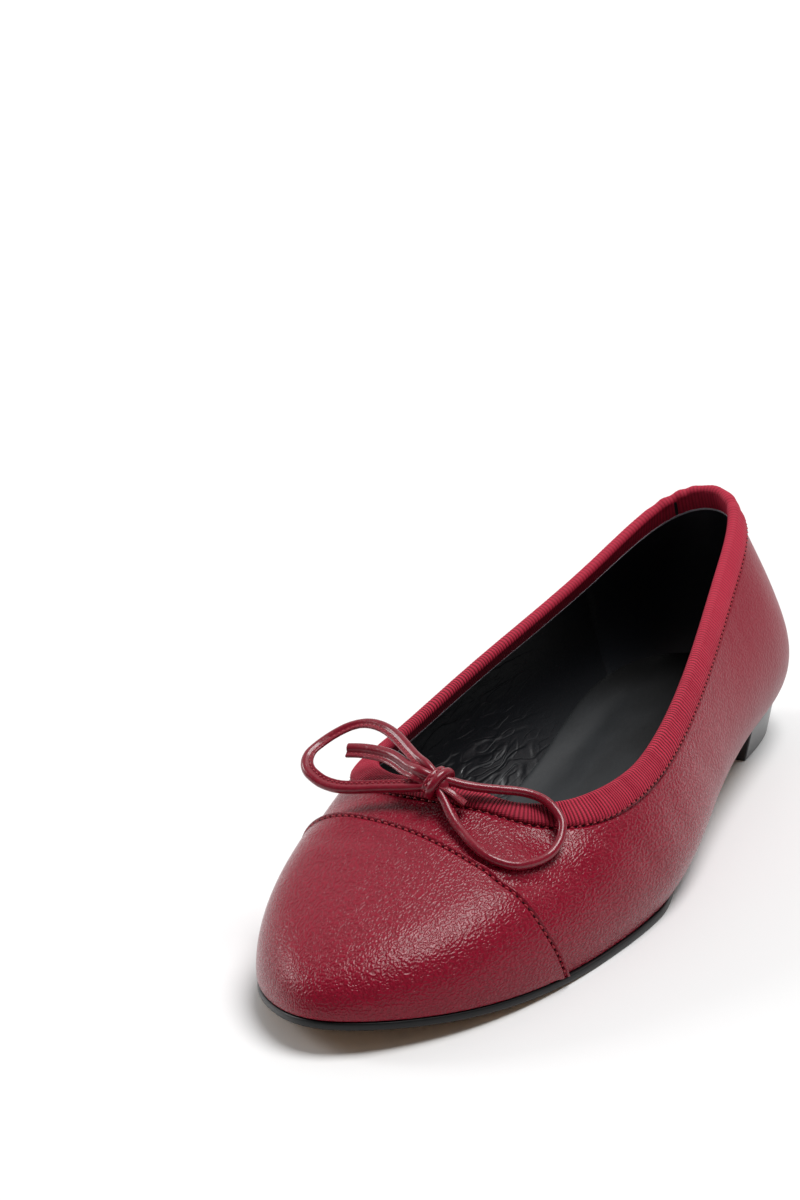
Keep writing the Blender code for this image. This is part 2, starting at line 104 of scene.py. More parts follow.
# The insole's forms: the dish, the hollow along it, the cushion under the arch, the rim
INSOLE_DISH, INSOLE_HOLLOW, INSOLE_CUSHION, INSOLE_RIM = 0.0006, 0.0007, 0.0011, 0.0005
# The lining's heel grip: its edge is a parabola, x = GRIP_BACK + GRIP_CURVE (z - GRIP_LOW)^2
GRIP_BACK = 0.0008
GRIP_CURVE = 23.5
GRIP_LOW = 0.017
GRIP_STEP = 0.00055

Rib = namedtuple(
    "Rib",
    "name along side width collar_along collar_side rise depth "
    "belly_out belly_up brow_out brow_down edge",
)
RIBS = [Rib(*row) for row in (
    ("heel_back", 0.002, 0.00, HEEL_WIDTH, 0.027, 0.00, 1.00, HEEL_DEPTH, 0.14, 0.28, 0.05, 0.31, 0.8),
    ("heel_lateral", 0.030, 0.71, HEEL_WIDTH, 0.072, 0.33, 0.97, HEEL_DEPTH, 0.16, 0.28, 0.11, 0.31, 0.8),
    ("seat_lateral", 0.147, 1.00, HEEL_WIDTH, 0.248, 0.56, 0.83, HEEL_DEPTH, 0.22, 0.28, 0.17, 0.31, 0.2),
    ("waist_lateral", 0.368, 1.17, WAIST_WIDTH, 0.522, 0.85, 1.08, SIDE_DEPTH, 0.33, 0.24, 0.16, 0.34, 0.4),
    ("joint_lateral", 0.552, 1.01, BALL_WIDTH, 0.762, 1.00, 1.01, SIDE_DEPTH, 0.23, 0.28, 0.19, 0.29, 0.6),
    ("ball_lateral", 0.696, 0.975, BALL_WIDTH, 0.917, 0.90, 0.96, SIDE_DEPTH, 0.11, 0.33, 0.26, 0.22, 0.7),
    ("toe_lateral", 0.843, 0.885, TOE_WIDTH, 0.988, 0.54, 0.88, THROAT_DEPTH, 0.045, 0.25, 0.42, 0.21, 1.1),
    ("corner_lateral", 0.950, 0.42, TOE_WIDTH, 1.000, 0.24, 0.94, THROAT_DEPTH, 0.03, 0.18, 0.56, 0.20, 1.2),
    ("toe_tip", 1.000, -0.18, TOE_WIDTH, 1.001, -0.03, 1.00, THROAT_DEPTH, 0.025, 0.17, 0.56, 0.20, 1.2),
    ("corner_medial", 0.966, -0.66, TOE_WIDTH, 0.999, -0.33, 1.00, THROAT_DEPTH, 0.025, 0.17, 0.54, 0.17, 1.2),
    ("toe_medial", 0.881, -1.07, TOE_WIDTH, 0.980, -0.62, 0.97, THROAT_DEPTH, 0.025, 0.21, 0.39, 0.15, 1.1),
    ("ball_medial", 0.746, -0.99, BALL_WIDTH, 0.915, -0.92, 1.03, SIDE_DEPTH, 0.09, 0.28, 0.24, 0.15, 0.7),
    ("joint_medial", 0.574, -0.81, BALL_WIDTH, 0.766, -1.01, 0.99, SIDE_DEPTH, 0.23, 0.28, 0.20, 0.28, 0.6),
    ("waist_medial", 0.377, -0.82, WAIST_WIDTH, 0.526, -0.88, 1.02, SIDE_DEPTH, 0.39, 0.28, 0.20, 0.34, 0.4),
    ("seat_medial", 0.148, -0.96, HEEL_WIDTH, 0.241, -0.60, 0.79, HEEL_DEPTH, 0.23, 0.31, 0.15, 0.36, 0.2),
    ("heel_medial", 0.031, -0.69, HEEL_WIDTH, 0.069, -0.34, 0.94, HEEL_DEPTH, 0.16, 0.30, 0.08, 0.34, 0.8),
)]

# Creases of the worn-in leather, in millimetres in the shoe's frame: a soft trough from
# one point to another, or a ridge where depth is below 0
Crease = namedtuple("Crease", "name x1 y1 z1 x2 y2 z2 width depth")
CREASES = [Crease(*row) for row in (
    ("under_loop_ridge", 174.5, 17.0, 29.6, 168.0, 26.0, 27.0, 2.0, -0.65),
    ("seam_trough", 177.5, 20.0, 27.6, 167.0, 29.0, 25.2, 2.4, 0.80),
    ("throat_trough", 160.0, 1.0, 37.2, 166.5, 14.5, 32.6, 3.2, 0.60),
    ("loop_hollow", 163.0, 17.0, 32.4, 154.0, 27.0, 30.0, 3.8, 0.55),
    ("ball_swell", 156.0, 27.0, 29.5, 146.0, 36.0, 24.5, 4.5, -0.35),
    ("ball_fold_front", 158.0, 33.0, 21.0, 149.0, 39.0, 12.0, 3.6, 0.28),
    ("ball_fold_back", 140.0, 37.0, 26.0, 128.0, 42.0, 14.0, 4.2, 0.30),
    ("joint_fold", 118.0, 38.5, 28.0, 108.0, 42.6, 16.0, 4.5, 0.25),
    ("waist_fold", 92.0, 36.5, 31.0, 74.0, 38.5, 16.0, 5.0, 0.25),
    ("knot_dent", 157.0, -14.0, 38.0, 161.0, -3.5, 37.2, 2.8, 0.45),
    ("cap_crease", 171.0, -30.0, 31.4, 175.5, -6.0, 33.8, 2.4, 0.30),
    ("cap_brow", 176.5, -29.0, 30.0, 181.0, -4.0, 32.4, 3.0, -0.16),
    ("medial_fold_front", 156.0, -35.0, 27.0, 150.0, -39.5, 14.0, 3.8, 0.30),
    ("medial_fold_back", 140.0, -35.0, 28.5, 131.0, -39.5, 16.0, 4.2, 0.30),
    ("counter_hollow", -6.0, 21.0, 47.0, -15.0, 19.0, 20.0, 6.0, 0.25),
)]

# Folds of the lining on the medial wall, in the same way, seen from inside
LINING_FOLDS = [Crease(*row) for row in (
    ("fold_1", 104.0, -34.0, 17.0, 86.0, -32.5, 27.0, 1.0, -0.20),
    ("fold_2", 99.0, -33.0, 12.0, 79.0, -30.5, 22.0, 1.1, -0.24),
    ("fold_3", 92.0, -31.5, 11.5, 72.0, -29.0, 19.0, 0.9, -0.18),
    ("fold_4", 88.0, -31.0, 17.5, 66.0, -30.0, 26.5, 1.0, -0.20),
    ("fold_5", 82.0, -29.5, 14.0, 60.0, -28.5, 21.0, 1.0, -0.16),
    ("fold_6", 110.0, -35.5, 22.0, 94.0, -34.0, 28.5, 1.1, -0.18),
    ("fold_7", 116.0, -36.0, 16.0, 100.0, -34.5, 24.0, 1.2, -0.18),
)]

# Gathers of the binding where it turns round the heel, in millimetres
Gather = namedtuple("Gather", "x y width depth")
GATHERS = [
    Gather(-8.0, -10.5, 1.6, 0.10),
    Gather(-12.0, -7.8, 1.5, 0.22),
    Gather(-14.6, -5.0, 1.2, 0.18),
    Gather(-16.6, -1.0, 1.8, 0.10),
    Gather(-15.4, 5.2, 1.6, 0.10),
    Gather(-10.8, 10.6, 1.4, 0.22),
]


def in_metres(*points):
    """A route's points in metres, from tenths of a millimetre."""
    return [tuple(value / 10000 for value in point) for point in points]


# Routes of the string from the knot's middle, as in the part, and at each point the turn
# in degrees of its stitched flange away from the middle of its loop
LOOP_LATERAL = in_metres(
    (-8, 14, 8), (-20, 54, -5), (-36, 90, -15), (-63, 131, -26), (-89, 171, -36), (-100, 205, -46),
    (-95, 241, -58), (-79, 272, -75), (-59, 293, -95), (-27, 301, -118), (11, 299, -134), (47, 288, -142),
    (91, 269, -141), (123, 244, -136), (137, 212, -125), (135, 179, -113), (116, 139, -97), (91, 103, -81),
    (65, 67, -59), (37, 37, -33), (14, 10, -12),
)
LOOP_MEDIAL = in_metres(
    (-10, -12, 12), (-27, -43, 30), (-46, -74, 38), (-75, -108, 46), (-109, -149, 58), (-135, -187, 65),
    (-150, -221, 68), (-159, -252, 66), (-160, -280, 60), (-152, -305, 52), (-138, -326, 42),
    (-118, -345, 31), (-94, -360, 20), (-69, -368, 12), (-48, -368, 4), (-29, -362, -4), (-13, -350, -13),
    (0, -330, -21), (12, -299, -30), (21, -254, -33), (20, -202, -29), (15, -150, -23), (13, -98, -17),
    (12, -54, -11), (6, -14, -6),
)
TAIL_MEDIAL = in_metres(
    (2, -14, 8), (0, -50, 20), (-24, -88, 19), (-54, -127, 22), (-75, -164, 24), (-89, -209, 23),
    (-97, -246, 20), (-99, -281, 16),
)
TAIL_LATERAL = in_metres(
    (8, 12, -8), (14, 42, -19), (14, 60, -33), (13, 74, -44),
)
LATERAL_TURNS = [150, 150, 150, 150, 150, 140, 120, 100, 80, 60, 45, 35, 30, 30, 30, 30, 30, 30, 30, 30, 30]
MEDIAL_TURNS = [20] * 9 + [15] * 7 + [10] * 9
KNOT_MIDDLE = Vector((0.15871, -0.00225, 0.04378))
KNOT_UP = Vector((0.331, 0.045, 0.943))
BOW_AXIS = Vector((0.17, 0.94, -0.29)).normalized()
KNOT_REACH, KNOT_DEPTH, KNOT_TURN = 0.0039, 0.0027, 400
KNOT_CORE = (0.0062, 0.0066, 0.0042)
KNOT_POINTS = 40
# The string's thread and the dark bead of painted shadow in the hole beside it: length, width, height and way
# out
STRING_STITCHES = ((0.00092, 0.00034, 0.00030, 0.00036), (0.00062, 0.00044, 0.00024, 0.00020))
STRING_THREAD = (0.42, 0.03, 0.05)
# Colours of the painted shadow in the needle holes.
HOLE_DARK, HOLE_LIGHT = (0.010, 0.001, 0.002), (0.030, 0.002, 0.004)
# Lamps of the studio: name, way to the light and width in degrees
LAMPS = (("key_over", (-0.17, 0.27, 0.95), 32.0), ("fill_medial", (0.00, -0.89, 0.46), 20.0))
FLOOR_SIZE = 12.0
CAMERA_TURN, CAMERA_RISE, CAMERA_ROLL = radians(115.6467), radians(18.8611), radians(-3.3146)
CAMERA_PLACE = (1.07566, 0.43090, 0.43679)

# Columns of points round the leather and round the collar, and points to each rib of the ribbon
SURFACE_COLUMNS = 560
COLLAR_COLUMNS = 1440
RIB_POINTS = 4
# The outer leather's thickness, and from one point to the next along the string
LEATHER = 0.00085
STRING_STEP = 0.0007


def tint(name, description, default):
    return FloatVectorProperty(name=name, description=description, subtype="COLOR", default=default)


def size(name, description, default):
    return FloatProperty(name=name, description=description, subtype="DISTANCE", default=default)


class StudioLook(bpy.types.PropertyGroup):
    """Floor, lights and lens."""

    floor_colour: tint("Floor", "Colour of the floor", (0.80, 0.80, 0.80))
    sky: FloatProperty(name="Sky", description="Brightness of the room", default=1.0)
    key: FloatProperty(name="Key", description="Strength of the light overhead", default=3.0)
    fill: FloatProperty(name="Fill", description="Strength of the light at the medial side", default=0.85)
    lens: FloatProperty(name="Lens", description="Focal length in millimetres", default=136.27)


class LeatherLook(bpy.types.PropertyGroup):
    """The outer leather."""

    colour: tint("Leather", "Colour of the leather", (0.250, 0.0060, 0.0230))
    # Painted shade: this colour darkens the grain's hollows and the quarter.
    painted_shade: tint("Deep", "Colour in the grain's hollows", (0.110, 0.0014, 0.0070))
    grain: size("Grain", "From one ridge of the grain to the next", 0.00085)
    stitch_pitch: size("Stitch pitch", "From one stitch to the next", 0.0021)
    stitch_length: size("Stitch length", "Length of thread that shows", 0.00150)
    thread: size("Thread", "Thickness of the thread", 0.00052)
    thread_colour: tint("Thread colour", "Colour of the thread", (0.36, 0.010, 0.026))


class RibbonLook(bpy.types.PropertyGroup):
    """The ribbed binding round the collar."""

    colour: tint("Ribbon", "Colour of the ribs", (0.52, 0.022, 0.058))
    # Painted shade: the colour that darkens the grooves between the ribs.
    groove: tint("Groove", "Colour between the ribs", (0.120, 0.0018, 0.0080))
    rib_pitch: size("Rib pitch", "From one rib to the next", 0.00084)
    rib_height: size("Rib height", "Height of the ribs", 0.00012)


class InsideLook(bpy.types.PropertyGroup):
    """Lining and insole."""

    lining_colour: tint("Lining", "Colour of the lining", (0.0075, 0.0085, 0.0105))
    insole_colour: tint("Insole", "Colour of the insole", (0.015, 0.0165, 0.018))
    edge_colour: tint("Cut edge", "Colour of the lining's cut edge", (0.66, 0.68, 0.74))


class SoleLook(bpy.types.PropertyGroup):
    """Outsole and heel."""

    edge_colour: tint("Sole edge", "Colour of the dyed edge", (0.006, 0.006, 0.0065))
    under_colour: tint("Underside", "Colour of the sole's leather", (0.42, 0.25, 0.13))
    heel_colour: tint("Heel", "Colour of the heel block", (0.030, 0.030, 0.031))


class StringLook(bpy.types.PropertyGroup):
    """The bow's folded string."""

    colour: tint("String", "Colour of the string", (0.225, 0.0055, 0.0200))
    bead: size("Bead", "Radius of its round side", 0.00112)
    flange: size("Flange", "Width of its stitched flange", 0.00120)


class BalletFlatLook(bpy.types.PropertyGroup):
    """All sizes and colours that a user would change."""

    studio: PointerProperty(type=StudioLook)
    leather: PointerProperty(type=LeatherLook)
    ribbon: PointerProperty(type=RibbonLook)
    inside: PointerProperty(type=InsideLook)
    sole: PointerProperty(type=SoleLook)
    string: PointerProperty(type=StringLook)


# ------------------------------------------------------------------ the last


def heel_rest():
    """Distance from the last's zero to the middle of the heel's flat foot."""
    return (HEEL_LENGTH + HEEL_RAKE) / 2


def eased(share):
    """The share clamped to 0 and 1 and eased."""
    share = np.clip(share, 0, 1)
    return share**2 * (3 - 2 * share)


def unit(ways):
    return ways / np.linalg.norm(ways, axis=-1)[..., None]


def across_ring(values, axis=0):
    """From the neighbour before to the neighbour after, round a closed ring."""
    return np.roll(values, -1, axis=axis) - np.roll(values, 1, axis=axis)


def walked_along(points):
    """The distance walked to each point of a path."""
    return np.concatenate([[0.0], np.cumsum(np.linalg.norm(np.diff(points, axis=0), axis=1))])


def walked_down(points):
    """The distance walked down each rib to each of its points."""
    steps = np.linalg.norm(np.diff(points, axis=1), axis=2)
    return np.concatenate([np.zeros((len(points), 1)), np.cumsum(steps, axis=1)], axis=1)


def tread(x):
    """Height of the sole's underside: seat, arch, flat tread and toe spring."""
    back, front = BALL_BACK * LENGTH, BALL_FRONT * LENGTH
    seat = HEEL_HEIGHT - SEAT_PITCH * x
    run = back - HEEL_LENGTH
    t = np.clip((x - HEEL_LENGTH) / run, 0, 1)
    breast = HEEL_HEIGHT - SEAT_PITCH * HEEL_LENGTH
    arch = breast * (2 * t**3 - 3 * t**2 + 1) - SEAT_PITCH * run * (t**3 - 2 * t**2 + t)
    spring = TOE_SPRING * np.clip((x - front) / (LENGTH - front), 0, 2) ** 2
    return np.where(x < HEEL_LENGTH, seat, arch) + spring


def deck(x):
    """Height of the sole's top."""
    return tread(x) + SOLE_THICKNESS


def rib_sizes():
    """The table's rows in metres: foot x, y, collar x, y, z, four handles, edge."""
    rows = []
    for rib in RIBS:
        foot_x, foot_y = rib.along * LENGTH, rib.side * rib.width / 2
        collar_x = rib.collar_along * (LENGTH - VAMP_LENGTH)
        collar_y = rib.collar_side * OPENING_WIDTH / 2
        collar_z = deck(collar_x) + rib.rise * rib.depth
        foot = np.array([foot_x, foot_y, deck(foot_x)])
        span = np.linalg.norm(np.array([collar_x, collar_y, collar_z]) - foot)
        shares = (rib.belly_out, rib.belly_up, rib.brow_out, rib.brow_down)
        handles = [span * share for share in shares]
        rows.append([foot_x, foot_y, collar_x, collar_y, collar_z, *handles, rib.edge * EDGE_MARGIN])
    return np.array(rows)


def ring_spline(rows, steps):
    """A closed cubic spline through the rows and the lengths of its spans."""
    count = len(rows)
    bend = np.zeros((count, count))
    pull = np.zeros_like(rows)
    for i in range(count):
        before, after = (i - 1) % count, (i + 1) % count
        bend[i, before] += steps[before]
        bend[i, i] += 2 * (steps[before] + steps[i])
        bend[i, after] += steps[i]
        rise = (rows[after] - rows[i]) / steps[i]
        pull[i] = 6 * (rise - (rows[i] - rows[before]) / steps[before])
    curve = np.linalg.solve(bend, pull)

    def read(place):
        ends = np.concatenate([[0.0], np.cumsum(steps)])
        place = np.mod(place, ends[-1])
        i = np.clip(np.searchsorted(ends, place, side="right") - 1, 0, count - 1)
        after = (i + 1) % count
        b = ((place - ends[i]) / steps[i])[:, None]
        a = 1 - b
        sag = (a**3 - a) * curve[i] + (b**3 - b) * curve[after]
        return a * rows[i] + b * rows[after] + sag * steps[i][:, None] ** 2 / 6

    return read


def last_ribs(count, line="foot"):
    """Ribs evenly spaced along the foot line or the collar, with the foot's outward way."""
    columns = slice(0, 2) if line == "foot" else slice(2, 5)
    rows = rib_sizes()
    feet = rows[:, :2]
    steps = np.sqrt(np.linalg.norm(np.roll(feet, -1, axis=0) - feet, axis=1))
    read = ring_spline(rows, steps)
    fine = np.linspace(0, steps.sum(), 8192)
    walked = walked_along(read(fine)[:, columns])
    place = np.interp(np.arange(count) / count * walked[-1], walked, fine)
    nudge = steps.sum() * 1e-5
    way = unit(read(place + nudge)[:, :2] - read(place - nudge)[:, :2])
    outward = np.column_stack([-way[:, 1], way[:, 0]])
    return read(place), outward, walked[-1]


def crease_height(points, table):
    """How far each point is pushed in by a table's soft troughs."""
    shoe = points * 1000 - np.array([heel_rest() * 1000, 0, 0])
    total = np.zeros(points.shape[:-1])
    for crease in table:
        start = np.array([crease.x1, crease.y1, crease.z1])
        way = np.array([crease.x2, crease.y2, crease.z2]) - start
        share = np.clip(((shoe - start) @ way) / (way @ way), 0, 1)
        gap = np.linalg.norm(shoe - start - share[..., None] * way, axis=-1)
        fade = np.sin(pi * (0.12 + 0.76 * share))
        total += crease.depth / 1000 * np.exp(-((gap / crease.width) ** 2)) * fade
    return total


def skin(ribs, outward, shares, creased=True):
    """Points and outward normals of the upper's outer face at shares up each rib."""
    up = np.array([0.0, 0.0, 1.0])
    side = np.column_stack([outward, np.zeros(len(outward))])
    foot = np.column_stack([ribs[:, :2], deck(ribs[:, 0]) + GAP])
    collar = ribs[:, 2:5]
    low = foot + side * ribs[:, 5:6] + up * ribs[:, 6:7]
    high = collar + side * ribs[:, 7:8] - up * ribs[:, 8:9]
    v = np.asarray(shares)
    v = (v[None, :] if v.ndim == 1 else v)[..., None]
    ends = (1 - v) ** 3 * foot[:, None] + v**3 * collar[:, None]
    points = ends + 3 * (1 - v) * v * ((1 - v) * low[:, None] + v * high[:, None])
    rise = (1 - v) ** 2 * (low - foot)[:, None] + 2 * (1 - v) * v * (high - low)[:, None]
    rise = rise + v**2 * (collar - high)[:, None]
    normal = unit(np.cross(rise, across_ring(points)))
    if creased:
        points = points - normal * crease_height(points, CREASES)[..., None]
    return points, normal


def foot_row(ribs, outward, offset, lift):
    """The ribs' feet moved outward and set at a height above the sole's top."""
    flat = ribs[:, :2] + outward * offset
    return np.column_stack([flat, deck(flat[:, 0]) + lift])


def down_from_collar(ribs, outward, drops):
    """Points and normals of the outer face at distances down from the collar."""
    points, normal = skin(ribs, outward, np.linspace(1, 0, 91), creased=False)
    walked = walked_down(points)
    spots = np.empty((len(ribs), len(drops), 3))
    faces = np.empty_like(spots)
    for i in range(len(ribs)):
        for axis in range(3):
            spots[i, :, axis] = np.interp(drops, walked[i], points[i, :, axis])
            faces[i, :, axis] = np.interp(drops, walked[i], normal[i, :, axis])
    return spots, faces


def ahead_of_seam(points):
    """Distance over a closed band of the surface from the cap's folded edge, above 0 ahead."""
    x, y, z = points[..., 0] - heel_rest(), points[..., 1], points[..., 2]
    side = y / np.sqrt(y**2 + 0.004**2)
    across = (y + side * SEAM_LEAN * np.clip(SEAM_WALL - z, 0, None)) / SEAM_SPAN
    field = x - np.polyval(SEAM_LINE, across) + SEAM_EDGE
    along, rise = across_ring(points) / 2, np.gradient(points, axis=1)
    field_along, field_rise = across_ring(field) / 2, np.gradient(field, axis=1)
    e, f, g = (along * along).sum(-1), (along * rise).sum(-1), (rise * rise).sum(-1)
    steep = g * field_along**2 - 2 * f * field_along * field_rise + e * field_rise**2
    steep = np.sqrt(np.abs(steep / np.maximum(e * g - f * f, 1e-20)))
    return field / np.clip(steep, 0.6, 1.7)


def periodic(values, index):
    """A closed ring's values read between its columns."""
    low = np.floor(index).astype(int)
    share = (index - low)[:, None]
    count = len(values)
    return values[low % count] * (1 - share) + values[(low + 1) % count] * share


def square_from_collar(places, drops):
    """Points and normals of the outer face straight down from places along the collar."""
    fine = COLLAR_COLUMNS
    ribs, outward, around = last_ribs(fine, "collar")
    spots, faces = down_from_collar(ribs, outward, np.maximum(drops, 0.0))
    edge, below = down_from_collar(ribs, outward, np.array([0.0, WALL]))[0].transpose(1, 0, 2)
    way = unit(across_ring(edge))
    index = np.asarray(places) / around * fine
    start, straight = periodic(edge, index), periodic(way, index)
    grid = np.empty((len(index), len(drops), 3))
    normal = np.empty_like(grid)
    for j in range(len(drops)):
        here = index.copy()
        for _ in range(4):
            miss = ((periodic(spots[:, j], here) - start) * straight).sum(1)
            here -= miss / around * fine
        grid[:, j], normal[:, j] = periodic(spots[:, j], here), periodic(faces[:, j], here)
    upward = start - periodic(below, index)
    upward -= straight * (upward * straight).sum(1)[:, None]
    return grid, unit(normal), unit(upward)


def smooth_route(points, step, extra=None):
    """Evenly spaced points on a smooth open curve through a route, with its other values."""
    route = np.array(points)
    if extra is not None:
        route = np.column_stack([route, extra])
    ends = np.vstack([2 * route[0] - route[1], route, 2 * route[-1] - route[-2]])
    fine = []
    for a, b, c, d in zip(ends, ends[1:], ends[2:], ends[3:]):
        for t in np.linspace(0, 1, 12, endpoint=False):
            square = (2 * a - 5 * b + 4 * c - d) * t**2
            cube = (3 * b - a - 3 * c + d) * t**3
            fine.append((2 * b + (c - a) * t + square + cube) / 2)
    fine = np.array(fine + [route[-1]])
    walked = walked_along(fine[:, :3])
    places = np.linspace(0, walked[-1], max(3, round(walked[-1] / step) + 1))
    return np.column_stack([np.interp(places, walked, fine[:, axis]) for axis in range(fine.shape[1])])


# ------------------------------------------------------------------ meshes


def grid_faces(count_i, count_j, closed_i, closed_j):
    """Corner indices of the quads of a grid, and the same corners on its unrolled chart."""
    i, j = np.meshgrid(
        np.arange(count_i if closed_i else count_i - 1),
        np.arange(count_j if closed_j else count_j - 1),
        indexing="ij",
    )
    i, j = i.ravel(), j.ravel()
    after_i, after_j = (i + 1) % count_i, (j + 1) % count_j
    quads = np.stack(
        [i * count_j + j, after_i * count_j + j, after_i * count_j + after_j, i * count_j + after_j], axis=1
    )
    wide = count_j + (1 if closed_j else 0)
    chart = np.stack([i * wide + j, (i + 1) * wide + j, (i + 1) * wide + j + 1, i * wide + j + 1], axis=1)
    return quads, chart


def grid_piece(name, grid, finish, closed_i=True, closed_j=True, chart=None, lids=()):
    """A mesh over a grid of points on the last, with its chart as a UV map."""
    count_i, count_j = grid.shape[:2]
    quads, corners = grid_faces(count_i, count_j, closed_i, closed_j)
    points = grid.reshape(-1, 3) - np.array([heel_rest(), 0, 0])
    mesh = bpy.data.meshes.new(name)
    mesh.from_pydata(points.tolist(), [], quads.tolist() + [list(lid) for lid in lids])
    if chart is not None:
        layer = mesh.uv_layers.new(name="chart")
        values = np.zeros((len(mesh.loops), 2), np.float32)
        values[: quads.size] = chart.reshape(-1, 2)[corners.ravel()]
        layer.data.foreach_set("uv", values.ravel())
    return settle(name, mesh, finish)


def settle(name, mesh, *finishes, weld=1e-6, sharp=50):
    """Face a mesh outwards, close its poles, smooth it and make its object."""
    shape = bmesh.new()
    shape.from_mesh(mesh)
    if weld:
        bmesh.ops.remove_doubles(shape, verts=shape.verts, dist=weld)
        bmesh.ops.dissolve_degenerate(shape, edges=shape.edges, dist=weld)
    bmesh.ops.recalc_face_normals(shape, faces=shape.faces)
    shape.to_mesh(mesh)
    shape.free()
    mesh.shade_smooth()
    mesh.set_sharp_from_angle(angle=radians(sharp))
    for finish in finishes:
        mesh.materials.append(finish)
    item = bpy.data.objects.new(name, mesh)
    bpy.context.scene.collection.objects.link(item)
    return item


def deselect():
    """Nothing stays selected before a piece is modelled."""
    for item in bpy.context.selected_objects:
        item.select_set(False)
    bpy.context.view_layer.objects.active = None


def dress(item, slot, *nodes):
    """The piece rides with the shoe and stands for CAD nodes; its slot is not used."""
    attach(item, "root")
    if nodes:
        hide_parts(*nodes)
    return item


def frames_along(points, normals):
    """Tangent, side and up at each point of a path that lies on a surface."""
    way = unit(np.gradient(points, axis=0))
    up = unit(normals - way * (normals * way).sum(1)[:, None])
    return way, np.cross(up, way), up


def walk(points, normals, step, closed):
    """The path read again every step, with its normals."""
    if closed:
        points, normals = np.vstack([points, points[:1]]), np.vstack([normals, normals[:1]])
    walked = walked_along(points)
    count = max(2, round(walked[-1] / step))
    places = (np.arange(count) + 0.5) / count * walked[-1]
    return [
        np.column_stack([np.interp(places, walked, values[:, axis]) for axis in range(3)])
        for values in (points, normals)
    ]


def bead_model(length, width, height):
    """One stitch, shaped from a small sphere by hand and bent down at its ends."""
    deselect()
    bpy.ops.mesh.primitive_uv_sphere_add(segments=8, ring_count=6, radius=0.5)
    item = bpy.context.active_object
    bpy.ops.object.mode_set(mode="EDIT")
    bpy.ops.mesh.select_all(action="SELECT")
    bpy.ops.transform.rotate(value=pi / 2, orient_axis="Y", center_override=(0, 0, 0))
    bpy.ops.transform.resize(value=(length, width, height), center_override=(0, 0, 0))
    bpy.ops.object.mode_set(mode="OBJECT")
    points = np.array([vert.co for vert in item.data.vertices])
    faces = [list(face.vertices) for face in item.data.polygons]
    points[:, 2] -= height * 0.9 * (points[:, 0] / (length / 2)) ** 2
    old = item.data
    bpy.data.objects.remove(item)
    bpy.data.meshes.remove(old)
    return points, faces


def copies(model, spots, ways, sides, ups):
    """One mesh of copies of a model, each in its own frame."""
    points, faces = model
    placed = spots[:, None] + points[None, :, 0:1] * ways[:, None]
    placed = placed + points[None, :, 1:2] * sides[:, None] + points[None, :, 2:3] * ups[:, None]
    shift = len(points)
    joined = [[corner + shift * k for corner in face] for k in range(len(spots)) for face in faces]
    return placed.reshape(-1, 3), joined


def stitch_mesh(name, groups, finishes, shift):
    """One mesh of groups of copies: each group's finish, model and frames."""
    points, faces, marks, count = [], [], [], 0
    for mark, model, spots, ways, sides, ups in groups:
        placed, joined = copies(model, spots, ways, sides, ups)
        points.append(placed + shift)
        faces += [[corner + count for corner in face] for face in joined]
        marks += [mark] * len(joined)
        count += len(placed)
    mesh = bpy.data.meshes.new(name)
    mesh.from_pydata(np.vstack(points).tolist(), [], faces)
    item = settle(name, mesh, *finishes, weld=0)
    mesh.polygons.foreach_set("material_index", np.array(marks, np.int32))
    return item


def stitch_row(name, points, normals, pitch, length, thread, finishes, closed):
    """A row of thread between dark beads of painted shadow in the needle holes."""
    spots, ups = walk(points, normals, pitch, closed)
    ways, sides, ups = frames_along(spots, ups)
    threads = 0, bead_model(length, thread, thread), spots, ways, sides, ups
    between = (spots + np.roll(spots, -1, axis=0)) / 2
    if not closed:
        between, ways, sides, ups = between[:-1], ways[:-1], sides[:-1], ups[:-1]
    # Painted shadow: a dark bead sunk in each needle hole.
    hole = bead_model(pitch - length + thread * 0.5, thread * 1.5, thread * 0.8)
    holes = 1, hole, between - ups * thread * 0.28, ways, sides, ups
    return stitch_mesh(name, (threads, holes), finishes, np.array([-heel_rest(), 0, 0]))


# ------------------------------------------------------------------ finishes


class Signal:
    """A socket of a material's tree that is worked with as plain maths."""

    def __init__(self, tree, socket=None):
        self.tree, self.socket = tree, socket

    def node(self, kind, settings=None, inputs=None, output=0):
        """A node with its settings made first and then its values or links."""
        made = self.tree.nodes.new(kind)
        for name, value in (settings or {}).items():
            setattr(made, name, value)
        for key, value in (inputs or {}).items():
            if isinstance(value, Signal):
                self.tree.links.new(value.socket, made.inputs[key])
            else:
                made.inputs[key].default_value = value
        return Signal(self.tree, made.outputs[output])

    def math(self, operation, a, b=0.0):
        return self.node("ShaderNodeMath", {"operation": operation}, {0: a, 1: b})

    def __add__(self, other):
        return self.math("ADD", self, other)

    __radd__ = __add__

    def __sub__(self, other):
        return self.math("SUBTRACT", self, other)

    def __rsub__(self, other):
        return self.math("SUBTRACT", other, self)

    def __mul__(self, other):
        return self.math("MULTIPLY", self, other)

    __rmul__ = __mul__

    def __truediv__(self, other):
        return self.math("DIVIDE", self, other)

    def __rtruediv__(self, other):
        return self.math("DIVIDE", other, self)

    def sine(self):
        return self.math("SINE", self)

    def size(self):
        return self.math("ABSOLUTE", self)

    def spread(self, low, high):
        """0 at low and 1 at high, clamped and eased."""
        settings = {"interpolation_type": "SMOOTHSTEP"}
        return self.node("ShaderNodeMapRange", settings, {"Value": self, "From Min": low, "From Max": high})

    def blend(self, shade_a, shade_b):
        """Colour a where this is 0 and colour b where it is 1."""
        settings = {"data_type": "RGBA"}
        inputs = {0: self, 6: colour(shade_a), 7: colour(shade_b)}
        return self.node("ShaderNodeMix", settings, inputs, output=2)

    def vary(self, shade, low, high):
        """One colour from darker to lighter."""
        return self.blend(scaled(shade, low), scaled(shade, high))

    def part(self, axis):
        return self.node("ShaderNodeSeparateXYZ", inputs={0: self}, output=axis)


def scaled(shade, by):
    return [c * by for c in shade]


